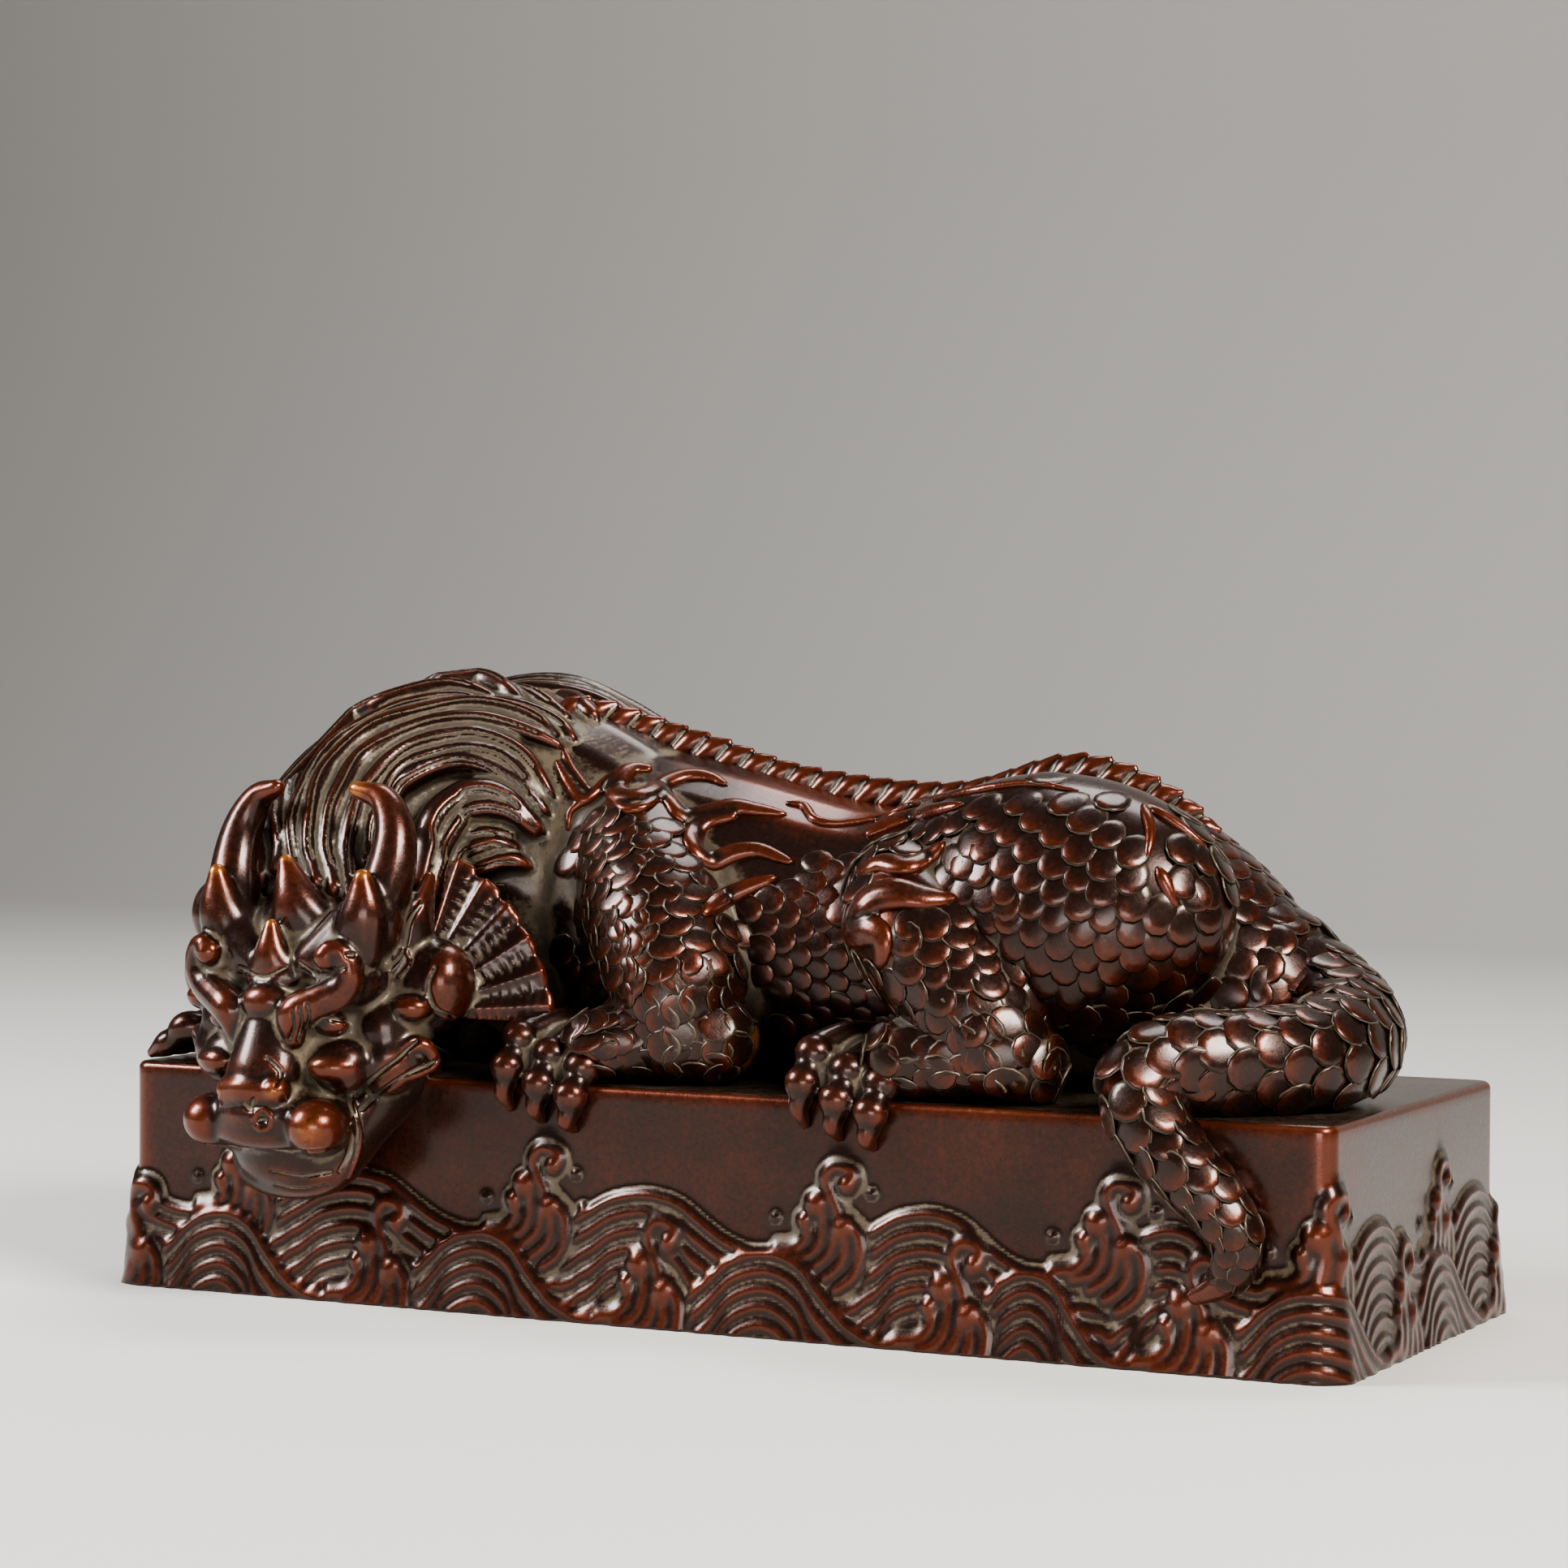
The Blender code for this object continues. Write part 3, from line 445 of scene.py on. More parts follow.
def fan(clay, s):
    """Flat blades that spread behind the cheek, each crossed by fine ridges."""
    for k in range(FAN_BLADES):
        f = k / (FAN_BLADES - 1)
        turn = math.radians(84 - 80 * f)
        reach = FAN_REACH * (1.0 - 0.10 * f)
        root = np.array([13.6 + 4.4 * f, -2.4 - 0.6 * f, 14.6 - 6.6 * f])
        way = np.array([math.cos(turn), -0.42, math.sin(turn)])
        rows = [(*head_spot(s * p[0], p[1], p[2]), w, h) for p, w, h in
                ((root, 1.0, 0.6), (root + way * reach * 0.5, 1.6, 0.8), (root + way * reach, 2.3, 0.8))]
        clay.sweep(rows, across=(0.0, 1.0, 0.0))
        edge = [(*head_spot(s * p[0], p[1] + 0.5, p[2] + 0.3), 0.45, 0.6) for p in
                (root, root + way * reach * 0.5, root + way * (reach + 0.4))]
        clay.sweep(edge, across=(0.0, 1.0, 0.0))
        for rung in FAN_RUNGS:
            middle = root + way * reach * rung / 9
            half = 0.7 + 1.1 * rung / 9
            across = np.array([-math.sin(turn), 0.0, math.cos(turn)]) * half
            clay.sweep([(*head_spot(s * p[0], p[1] + 0.68, p[2]), 0.26, 0.3) for p in (middle - across,
                                                                                       middle + across)],
                       across=(0.0, 1.0, 0.0))


# %% [markdown]
# ## Drawing on the form
# The camera stands where the photographer stood. Its place was found from the plinth's edges: it looks at the
# beast from the front right, a little above, through a lens of about 93 mm. Fine forms such as locks of hair
# and flame curls are drawn as strokes seen from there. Each point of a stroke is sent along its line of sight
# until it meets the clay, so the stroke lies on the form at the right depth.

# %% The photographer's place
PICTURE = 1932
LENS_PIXELS = 4990.7
CAMERA_PLACE = Vector((0.224575, -0.453196, 0.076208))
CAMERA_AZIMUTH = math.radians(26.638)
CAMERA_FALL = math.radians(1.3735)
CAMERA_ROLL = math.radians(-0.2765)
SENSOR = 36.0


def camera_matrix():
    ahead = Vector((-math.sin(CAMERA_AZIMUTH) * math.cos(CAMERA_FALL),
                    math.cos(CAMERA_AZIMUTH) * math.cos(CAMERA_FALL),
                    -math.sin(CAMERA_FALL)))
    turned = ahead.to_track_quat("-Z", "Y").to_matrix().to_4x4() @ Matrix.Rotation(-CAMERA_ROLL, 4, "Z")
    turned.translation = CAMERA_PLACE
    return turned


SIGHT = camera_matrix()
print("lens", round(LENS_PIXELS / PICTURE * SENSOR, 1), "mm, camera at", [round(c, 3) for c in CAMERA_PLACE],
      "m")

# %% Send strokes onto a skin
# Three enlargements that the strokes were read from: the corner's place in the picture, then how many picture
# pixels one unit of the sheet takes
SHEETS = {"head": (200.0, 800.0, 0.56), "shoulder": (620.0, 880.0, 1 / 3), "hip": (1080.0, 960.0, 1 / 3)}


def sight_line(sheet, x, y):
    """The way from the camera through a place on a sheet."""
    left, top, scale = SHEETS[sheet]
    right = (left + x * scale - PICTURE / 2) / LENS_PIXELS
    down = (top + y * scale - PICTURE / 2) / LENS_PIXELS
    return (SIGHT.to_3x3() @ Vector((right, -down, -1.0))).normalized()


def skin_tree(*forms):
    """One search tree over the skins of several pieces."""
    places, faces = [], []
    for form in forms:
        start = len(places)
        places += [v.co.copy() for v in form.data.vertices]
        faces += [tuple(start + i for i in p.vertices) for p in form.data.polygons]
    return BVHTree.FromPolygons(places, faces)


def laid_on(tree, sheet, stroke, steps=6):
    """A stroke's places and outward ways where its lines of sight meet the form."""
    places, ways = [], []
    for x, y in smooth_path(stroke, steps):
        hit, way, _, _ = tree.ray_cast(CAMERA_PLACE, sight_line(sheet, x, y))
        if hit is not None and (not places or (hit - places[-1]).length < 0.02):
            places.append(hit)
            ways.append(way)
    ways = [sum(ways[max(0, i - 2):i + 3], Vector()).normalized() for i in range(len(ways))]
    return places, ways


def shaped_widths(count, widest, start=0.5, tip=0.12, peak=0.35):
    """Half widths along a lock: from a share of the widest at the root, over the widest, to a fine tip."""
    f = np.linspace(0, 1, count)
    rise = start + (1 - start) * np.sin(np.clip(f / peak, 0, 1) * math.pi / 2)
    fall = tip + (1 - tip) * np.sqrt(np.clip(1 - ((f - peak) / (1 - peak)).clip(0) ** 2, 0, 1))
    return widest * rise * fall


# %% [markdown]
# ## Wear, dust and painted shade
# Hands have rubbed the high places of the casting to a warm red-brown, and a dull beige film has stayed in
# the low ones. Each skin stores this as one number per point, worn. It compares a point with the average of
# its neighbourhood, near and wide: what stands out is worn, what lies in a groove isn't. The material reads
# it back, and where the number is lowest, in the deepest grooves, it darkens the dust as painted shade.

# %% How worn each point is
def neighbourhood(places, edges, rounds):
    """Places averaged over their neighbours, round after round."""
    count = len(places)
    a, b = edges[:, 0], edges[:, 1]
    links = np.bincount(a, minlength=count) + np.bincount(b, minlength=count)
    calm = places.copy()
    for _ in range(rounds):
        total = np.stack([np.bincount(a, calm[b, i], count) + np.bincount(b, calm[a, i],
                                                                          count) for i in range(3)], 1)
        calm = total / np.maximum(links, 1)[:, None]
    return calm


def read_places(data):
    places = np.empty(len(data.vertices) * 3)
    data.vertices.foreach_get("co", places)
    return places.reshape(-1, 3)


def read_ways(data):
    """Which way the skin faces at each point."""
    ways = np.empty(len(data.vertices) * 3)
    data.vertex_normals.foreach_get("vector", ways)
    return ways.reshape(-1, 3)


def read_worn(form):
    worn = np.empty(len(form.data.vertices))
    form.data.attributes["worn"].data.foreach_get("value", worn)
    return worn


def write_worn(form, worn):
    layer = form.data.attributes.get("worn") or form.data.attributes.new("worn", "FLOAT", "POINT")
    layer.data.foreach_set("value", worn.astype(np.float32))


def mark_wear(form, near=0.00006, wide=0.00035, near_rounds=3, wide_rounds=24, shift=0.0):
    """Stores worn, 0 in the grooves and 1 on the heights, from how far each point stands out."""
    data = form.data
    places = read_places(data)
    edges = np.empty(len(data.edges) * 2, int)
    data.edges.foreach_get("vertices", edges)
    edges = edges.reshape(-1, 2)
    ways = read_ways(data)
    fine = ((places - neighbourhood(places, edges, near_rounds)) * ways).sum(1) / near
    broad = ((places - neighbourhood(places, edges, wide_rounds)) * ways).sum(1) / wide
    # Points deep in a groove come out near 0, which the material paints with the crevice colour: dust with
    # painted shade.
    worn = 0.5 + shift + 0.25 * np.clip(fine, -1, 1) + 0.38 * np.clip(broad, -1, 1)
    write_worn(form, np.clip(worn, 0, 1))
    print(form.name, len(data.vertices), "points, worn", round(float(worn.mean()), 2))


def rub(form, touched):
    """Adds wear round places that many hands have touched: each is (place, reach in mm, how much)."""
    places = read_places(form.data)
    worn = read_worn(form)
    for place, reach, more in touched:
        away = np.linalg.norm(places - np.array(spot(*place)), axis=1) * 1000
        worn += more * np.exp(-(away / reach) ** 2)
    write_worn(form, worn)


# %% Thin and shade a skin
def lighten(form, triangles):
    """Thins a skin to about this many triangles; flat places lose most."""
    count = triangle_count(form)
    if count > triangles:
        thin = form.modifiers.new("thinned", "DECIMATE")
        thin.ratio = triangles / count
        settle(form)
        shade_round(form)


def shade_round(form):
    form.data.polygons.foreach_set("use_smooth", [True] * len(form.data.polygons))


def triangle_count(form):
    return sum(len(p.vertices) - 2 for p in form.data.polygons)


# %% [markdown]
# ## Copper with a patina
# One material serves the whole casting, because it is one metal. The worn number leads from the deepest
# crevices, where the dust is darkened to near-black as painted shade, over a dull beige film to a deep brown
# patina, and then to a rubbed red-brown on the heights, with a little brass on the sharpest of them. The film
# is dull and rough, the rubbed metal is bright and smooth under a thin coat of wax. The shader's maths is
# written with ordinary operators through a small class that wraps a socket.

# %% Shader maths in plain expressions
class Tone:
    """A socket that can be added, multiplied and compared with others, each step making a Math node."""

    def __init__(self, tree, socket):
        self.tree = tree
        self.socket = socket

    def maths(self, operation, other, swapped=False):
        node = self.tree.nodes.new("ShaderNodeMath")
        node.operation = operation
        for slot, value in enumerate([other, self] if swapped else [self, other]):
            if isinstance(value, Tone):
                self.tree.links.new(value.socket, node.inputs[slot])
            else:
                node.inputs[slot].default_value = value
        return Tone(self.tree, node.outputs[0])

    def __add__(self, other):
        return self.maths("ADD", other)

    __radd__ = __add__

    def __mul__(self, other):
        return self.maths("MULTIPLY", other)

    __rmul__ = __mul__

    def __sub__(self, other):
        return self.maths("SUBTRACT", other)

    def __rsub__(self, other):
        return self.maths("SUBTRACT", other, swapped=True)

    def between(self, low, high):
        """0 below low, 1 above high, smooth in between."""
        node = self.tree.nodes.new("ShaderNodeMapRange")
        node.interpolation_type = "SMOOTHSTEP"
        self.tree.links.new(self.socket, node.inputs["Value"])
        node.inputs["From Min"].default_value = low
        node.inputs["From Max"].default_value = high
        return Tone(self.tree, node.outputs["Result"])


# %% One material's recipe
class Recipe:
    """Builds one material's nodes."""

    def __init__(self, name):
        self.material = bpy.data.materials.new(name)
        self.material.use_nodes = True
        self.tree = self.material.node_tree
        self.shader = self.tree.nodes["Principled BSDF"]

    def node(self, kind, output, settings=None, **inputs):
        """Any other node: its settings are set first, then each named input gets a link or a value."""
        made = self.tree.nodes.new(kind)
        for key, value in (settings or {}).items():
            setattr(made, key, value)
        for key, value in inputs.items():
            socket = made.inputs[key.replace("_", " ")]
            if isinstance(value, Tone):
                self.tree.links.new(value.socket, socket)
            else:
                socket.default_value = value
        return Tone(self.tree, made.outputs[output])

    def mix(self, share, low, high):
        """A colour between two others; the node keeps its two colours in slots 6 and 7."""
        made = self.tree.nodes.new("ShaderNodeMix")
        made.data_type = "RGBA"
        self.tree.links.new(share.socket, made.inputs[0])
        for slot, colour in ((6, low), (7, high)):
            if isinstance(colour, Tone):
                self.tree.links.new(colour.socket, made.inputs[slot])
            else:
                made.inputs[slot].default_value = (*colour, 1.0)
        return Tone(self.tree, made.outputs[2])

    def feed(self, name, tone):
        self.tree.links.new(tone.socket, self.shader.inputs[name])


# %% Mix the copper's tones
# The crevice colour is the beige dust darkened: painted shade for the deepest grooves. The rest are the
# metal's own tones.
CREVICE_DUST_AND_SHADE = (0.046, 0.034, 0.022)
FILM = (0.088, 0.066, 0.045)
DRY_FILM = (0.150, 0.115, 0.074)
DEEP_PATINA = (0.0225, 0.0084, 0.0050)
RUBBED = (0.098, 0.0200, 0.0066)
BRASSY = (0.420, 0.160, 0.040)


def copper(name):
    """Patinated copper, from crevices darkened with painted shade over a dull beige film to rubbed red-brown
    heights.
    """
    made = Recipe(name)
    place = made.node("ShaderNodeTexCoord", "Object")
    worn = made.node("ShaderNodeAttribute", "Fac", {"attribute_name": "worn"})
    cloud = made.node("ShaderNodeTexNoise", "Fac", Vector=place, Scale=95.0, Detail=4.0, Roughness=0.6)
    grain = made.node("ShaderNodeTexNoise", "Fac", Vector=place, Scale=1500.0, Detail=3.0, Roughness=0.65)
    speck = made.node("ShaderNodeTexNoise", "Fac", Vector=place, Scale=3800.0, Detail=2.0, Roughness=0.7)
    uneven = worn + (cloud - 0.5) * 0.36 + (grain - 0.5) * 0.32
    open_face = uneven.between(0.0, 0.16)
    clean = uneven.between(0.20, 0.42)
    rubbed = uneven.between(0.55, 0.95)
    bright = (worn + (grain - 0.5) * 0.25 + (cloud - 0.5) * 0.3).between(1.02, 1.40)
    # Where worn is lowest the dust film darkens to the crevice colour: painted shade in the deepest grooves,
    # over dust.
    dust_film_and_crevice_shade = made.mix(open_face, CREVICE_DUST_AND_SHADE, made.mix(cloud.between(0.44, 0.68), FILM, DRY_FILM))
    metal = made.mix(rubbed, DEEP_PATINA, RUBBED)
    metal = made.mix(bright * 0.75, metal, BRASSY)
    made.feed("Base Color", made.mix(clean * (1.0 - speck.between(0.60, 0.74) * 0.25), dust_film_and_crevice_shade, metal))
    made.feed("Metallic", 0.08 + 0.24 * open_face + 0.30 * clean)
    rough = 0.66 - 0.20 * open_face - 0.16 * clean
    made.feed("Roughness", rough + (grain - 0.5) * 0.24 + (cloud - 0.5) * 0.12)
    made.feed("Coat Weight", 0.05 + open_face * 0.14 + clean * 0.24)
    made.shader.inputs["Coat Roughness"].default_value = 0.17
    made.shader.inputs["Specular IOR Level"].default_value = 0.38
    bump = made.node("ShaderNodeBump", "Normal", Height=grain * 0.6 + speck * 0.4, Strength=0.35,
                     Distance=0.00012)
    made.feed("Normal", bump)
    return made.material


patinated = copper("patinated_copper")
print("patinated_copper", len(patinated.node_tree.nodes), "nodes")

# %% [markdown]
# ## Trunk and limbs
# The body's own skin is plain, because scales, fins and flames are laid on it later. Its voxel is half a
# millimetre.

# %% Make the body's skin
def welded(clay, name, voxel, rounds, one_shell=False):
    """One smooth skin from laid clay; a form that hangs together keeps its largest shell alone."""
    form = clay.finish(name)
    one_skin(form, voxel, rounds)
    if one_shell:
        keep_largest_shell(form)
    shade_round(form)
    return form


def from_clay(name, shapes, voxel, rounds, one_shell=True):
    clay = Clay()
    for shape in shapes:
        shape(clay)
    return welded(clay, name, voxel, rounds, one_shell)


def take(form):
    """Dresses a finished piece and hands it to the frame."""
    form.data.materials.clear()
    form.data.materials.append(patinated)
    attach(form, "root")
    print(form.name, triangle_count(form), "triangles")


body = from_clay("body_and_limbs", (trunk, neck, near_foreleg, near_hind_leg, far_legs, tail), 0.00052, 12)
body_tree = skin_tree(body)
mark_wear(body, wide=0.00045, wide_rounds=40, shift=-0.22)
rub(body, (((5, 9, 6), 6.0, 0.45), ((46, 6.5, 5), 6.0, 0.45), ((2, 29, 34), 13.0, 0.45),
           ((20, 29, 32), 13.0, 0.45), ((46, 30, 36), 9.0, 0.45)))
lighten(body, 130000)
take(body)

# %% [markdown]
# ## Head
# The skull, muzzle and jaw are blended first. Brows, nose, lips, eyes, horns, ears and fans are then laid on
# and welded with a finer voxel, so that they keep crisp edges against the calm skull. Short strokes drawn on
# the result carve the strands at the brows, the nostrils and the lines beside the mouth.

# %% Carve strokes into a skin
def carve(form, strokes):
    """Raises or sinks the skin along strokes, each (places, half width, height), with a rounded profile."""
    data = form.data
    places = read_places(data)
    ways = read_ways(data)
    moved = np.zeros(len(places))
    for line, wide, high in strokes:
        if len(line) < 2:
            continue
        line = np.array([list(p) for p in line])
        low, top = line.min(0) - wide, line.max(0) + wide
        near = np.nonzero(((places > low) & (places < top)).all(1))[0]
        if not len(near):
            continue
        here = places[near]
        best = np.full(len(near), 1.0)
        for a, b in zip(line, line[1:]):
            way = b - a
            t = np.clip(((here - a) @ way) / max(way @ way, 1e-12), 0, 1)
            best = np.minimum(best, np.linalg.norm(here - a - t[:, None] * way, axis=1))
        share = np.clip(1 - (best / wide) ** 2, 0, 1)
        moved[near] += high * share ** 1.5
    places += ways * moved[:, None]
    data.vertices.foreach_set("co", places.ravel())
    data.update()


# %% Make the head
HEAD_VOXEL = 0.00030
# Strokes on the head's sheet: (half width in mm, height in mm, places)
HEAD_STROKES = (
    (0.45, -0.45, ((100, 1090), (200, 1100), (300, 1105), (385, 1095), (420, 1040))),
    (0.45, -0.55, ((214, 1036), (226, 1036))),
    (0.40, -0.40, ((408, 672), (420, 672))),
    (0.35, 0.30, ((200, 1036), (208, 1018), (226, 1014), (240, 1030), (236, 1052), (218, 1058), (204, 1050))),
    (0.40, -0.35, ((180, 1000), (192, 1012), (200, 990))),
    (0.35, -0.35, ((285, 800), (290, 830), (280, 860))),
    (0.35, -0.35, ((300, 790), (308, 825), (300, 862))),
    (0.35, -0.35, ((318, 782), (324, 812), (318, 835))),
    (0.40, -0.40, ((330, 830), (360, 812), (410, 818))),
    (0.45, -0.40, ((430, 980), (480, 930), (520, 900), (560, 862))),
    (0.45, -0.40, ((440, 1010), (500, 960), (560, 925), (620, 900))),
    (0.40, 0.35, ((420, 1000), (435, 1060), (430, 1110), (410, 1160))),
    (0.40, -0.35, ((410, 985), (420, 1040), (414, 1100), (390, 1150))),
    (0.40, -0.30, ((250, 1180), (300, 1190), (360, 1180))),
    (0.40, -0.30, ((240, 1150), (300, 1160), (370, 1150))),
    (0.35, -0.35, ((170, 700), (220, 722), (270, 702))),
    (0.35, -0.30, ((300, 690), (350, 720), (400, 700))),
    (0.35, -0.30, ((230, 900), (260, 930), (250, 960))),
    (0.40, -0.35, ((500, 700), (530, 660), (545, 600), (570, 560))),
    (0.40, 0.35, ((520, 720), (545, 690), (530, 660), (510, 680))),
    (0.45, -0.40, ((600, 700), (585, 740), (600, 790), (640, 810))),
)


def head_shapes():
    """The blended masses first, then the same skin again with the face laid on it."""
    masses = from_clay("head_masses", (skull,), HEAD_VOXEL, 26, one_shell=False)
    details = Clay()
    face(details)
    details.mesh.from_mesh(masses.data)
    bpy.data.objects.remove(masses, do_unlink=True)
    return welded(details, "head_and_horns", HEAD_VOXEL, 13, one_shell=True)


head = head_shapes()
head_tree = skin_tree(head)
carved = []
for half_width, height, stroke in HEAD_STROKES:
    line, _ = laid_on(head_tree, "head", stroke)
    carved.append((line, half_width / 1000, height / 1000))
carve(head, carved)
mark_wear(head, near=0.00010, wide=0.00075, near_rounds=4, wide_rounds=60, shift=-0.02)
rub(head, ((head_spot(9.0, 15.8, -5.6), 3.0, 0.32), (head_spot(-3.2, 16.0, -1.3), 2.6, 0.36),
           (head_spot(2.8, 16.0, -1.2), 1.8, 0.35),
           (head_spot(7.6, 4.2, 35.2), 2.4, 0.35), (head_spot(12.5, 10.0, 25.2), 2.2, 0.35),
           (head_spot(-9.9, 10.0, 25.2), 2.2, 0.35),
           (head_spot(-0.8, 8.0, 27.0), 2.0, 0.30), (head_spot(0, 12.0, 19.0), 2.0, 0.25),
           (head_spot(-8.4, 15.5, -5.2), 2.6, 0.25)))
lighten(head, 170000)
take(head)

# %% [markdown]
# ## Mane
# Behind the horns the hair rises in long locks, bends over the neck and gathers at the shoulder in three
# tiers. Each lock is drawn as one stroke and laid as one tapering roll, and a fine groove is carved beside
# its middle. Three locks that stand up along the crest are made of three thin strands each. The locks on the
# hidden side repeat the same flow from the neck's own shape.

# %% The mane's strokes
# Locks on the head's sheet: (half width in mm, height in mm, places from root to tip)
LOCKS = (
    (1.2, 0.9, ((700, 72), (780, 78), (880, 108), (960, 160))),
    (1.1, 0.9, ((740, 96), (820, 116), (900, 160))),
    (1.2, 0.9, ((690, 126), (780, 138), (860, 168), (910, 205))),
    (1.3, 1.3, ((196, 480), (215, 380), (255, 290), (330, 205), (420, 140), (500, 110))),
    (1.3, 1.4, ((222, 470), (232, 370), (275, 285), (350, 205), (450, 145), (545, 112))),
    (1.4, 1.6, ((255, 460), (256, 370), (300, 270), (375, 190), (480, 135), (600, 95), (700, 75))),
    (1.4, 1.7, ((290, 480), (288, 380), (330, 280), (410, 200), (520, 140), (640, 108), (745, 120))),
    (1.4, 1.7, ((320, 520), (312, 410), (350, 310), (420, 225), (530, 160), (650, 128), (750, 150))),
    (1.5, 1.9, ((352, 530), (342, 430), (372, 320), (440, 235), (540, 180), (680, 150), (800, 165),
                (878, 205))),
    (1.5, 1.8, ((385, 540), (376, 440), (400, 345), (455, 265), (550, 205), (680, 175), (790, 190),
                (885, 222))),
    (1.4, 1.7, ((418, 560), (410, 460), (432, 370), (490, 285), (570, 232), (680, 205), (790, 240),
                (865, 330))),
    (1.4, 1.6, ((455, 470), (462, 400), (500, 320), (570, 262), (670, 238), (770, 262), (850, 345))),
    (1.3, 1.5, ((495, 360), (530, 310), (600, 270), (690, 262), (780, 300), (855, 368))),
    (1.6, 2.3, ((548, 520), (562, 440), (600, 370), (670, 325), (760, 335), (842, 408))),
    (1.5, 2.2, ((562, 560), (585, 470), (625, 405), (690, 365), (770, 372), (830, 412))),
    (1.3, 1.8, ((585, 590), (612, 510), (650, 450), (710, 410), (780, 412))),
    (1.3, 1.8, ((650, 500), (680, 455), (730, 430), (790, 440))),
    (1.2, 1.6, ((680, 520), (720, 480), (770, 466), (815, 480))),
    (1.3, 1.5, ((640, 88), (700, 66), (760, 72), (810, 100))),
    (1.2, 1.3, ((560, 120), (640, 85), (720, 90), (800, 130))),
)


# Locks that stand up along the far side of the neck's crest, as stations of
# (along, inward, up, half width, half height)
TOP_LOCKS = (
    ((-54, 31, 43.5, 2.6, 2.0), (-46, 34, 46.8, 2.8, 2.6), (-37, 36, 47.4, 2.8, 2.7),
     (-28, 36.5, 44.6, 2.4, 2.0), (-20, 36, 41.2, 1.5, 1.2), (-14, 35.5, 39.2, 0.6, 0.6)),
    ((-46, 30, 46.0, 2.4, 2.0), (-39, 32, 47.2, 2.5, 2.2), (-31, 33.5, 46.0, 2.2, 1.9),
     (-24, 34, 42.6, 1.4, 1.2), (-18, 34, 40.2, 0.6, 0.6)),
    ((-50, 36, 43.0, 2.6, 2.2), (-40, 39.5, 45.0, 2.8, 2.4), (-30, 41, 42.6, 2.4, 2.0),
     (-22, 41, 38.8, 1.4, 1.2), (-16, 40, 36.6, 0.6, 0.6)),
)


# %% Lay and weld the locks
LOCK_SWELL = 1.25
LOCK_RISE = 1.75
TOP_STRANDS = (-1.5, 0.0, 1.5)
MANE_VOXEL = 0.00033


def lock(clay, places, ways, wide, high, grooves):
    """One tapering roll that lies on the form; a groove beside its middle is kept for carving."""
    count = len(places)
    if count < 6:
        return
    widths = shaped_widths(count, wide / 1000, start=0.7)
    line, aside = [], []
    for i, (place, way) in enumerate(zip(places, ways)):
        ahead = (places[min(i + 1, count - 1)] - places[max(i - 1, 0)]).normalized()
        aside.append(ahead.cross(way).normalized())
        line.append(place + way * (0.35 * high / 1000 * widths[i] * 1000 / wide))
    clay.roll(line, [(w, w * 0.85 * high / wide) for w in widths], ways, 14)
    top = [p + a * (w * 0.22) + n * (w * 0.85 * high / wide) for p, a, n, w in zip(line, aside, ways, widths)]
    grooves.append((top[3:-5], 0.00040, -0.00030))


def hidden_side_locks(clay, grooves):
    """The far side's locks, laid by the neck's own shape with the same flow."""
    for first, last, count, low, high, lift in ((0.05, 0.98, 9, 118, 222, 0.3),
                                                (0.02, 0.66, 7, 126, 214, 1.2)):
        for k in range(count):
            angle = low + (high - low) * k / (count - 1)
            places, ways = [], []
            for f in np.linspace(0, 1, 22):
                t = first + (last - first) * f
                turn = angle + 14 * math.cos(math.radians(angle)) * (math.sin(math.pi * f) - 1.2 * f)
                places.append(spot(*neck_place(t, turn, lift)))
                ways.append((spot(*neck_place(t, turn, lift + 2)) - places[-1]).normalized())
            lock(clay, places, ways, 1.9, 1.9, grooves)


def mane():
    base = from_clay("neck_skin", (neck,), 0.0006, 8, one_shell=False)
    tree = skin_tree(base, body)
    hair = Clay()
    grooves = []
    for wide, high, stroke in LOCKS:
        places, ways = laid_on(tree, "head", stroke, 8)
        lock(hair, places, ways, wide * LOCK_SWELL, high * LOCK_RISE, grooves)
    hidden_side_locks(hair, grooves)
    for line in TOP_LOCKS:
        for shift in TOP_STRANDS:
            thin = [(a, i + shift * (w / 2.6), u - 0.22 * abs(shift), 0.48 * w, 0.8 * h) for a, i, u, w,
                    h in line]
            hair.sweep(thin, steps=6, sides=14)
    hair.mesh.from_mesh(base.data)
    bpy.data.objects.remove(base, do_unlink=True)
    form = welded(hair, "mane", MANE_VOXEL, 2, one_shell=True)
    carve(form, grooves)
    print(len(grooves), "locks grooved")
    return form


mane_form = mane()
mark_wear(mane_form, near=0.00008, wide=0.00045, shift=-0.20)
lighten(mane_form, 170000)
take(mane_form)

# %% [markdown]
# ## Paws
# Every paw has three toes with round knuckles. Their claws press on the plinth's face, and those of the far
# forepaw lie on its top. Small lumps and short rolls are enough, because the Remesh modifier joins them.

# %% Make the toes
feet = from_clay("toes_and_claws", (paws,), 0.00030, 5, one_shell=False)
mark_wear(feet, near=0.00010, wide=0.00060, wide_rounds=40, shift=-0.14)
lighten(feet, 60000)
take(feet)

# %% [markdown]
# ## Flames and borders
# Flames lick backwards from the shoulder, the knee and the rump, and thin borders edge the smooth back. On
# the real casting they are low relief. They are drawn as strokes on the body and laid as flattened rolls with
# fine tips, and they come before the scales, because no scale lies under a flame.

# %% Flames, borders and buds
FLAME_SWELL = 1.5
FLAME_RISE = 0.8
FLAME_VOXEL = 0.00028
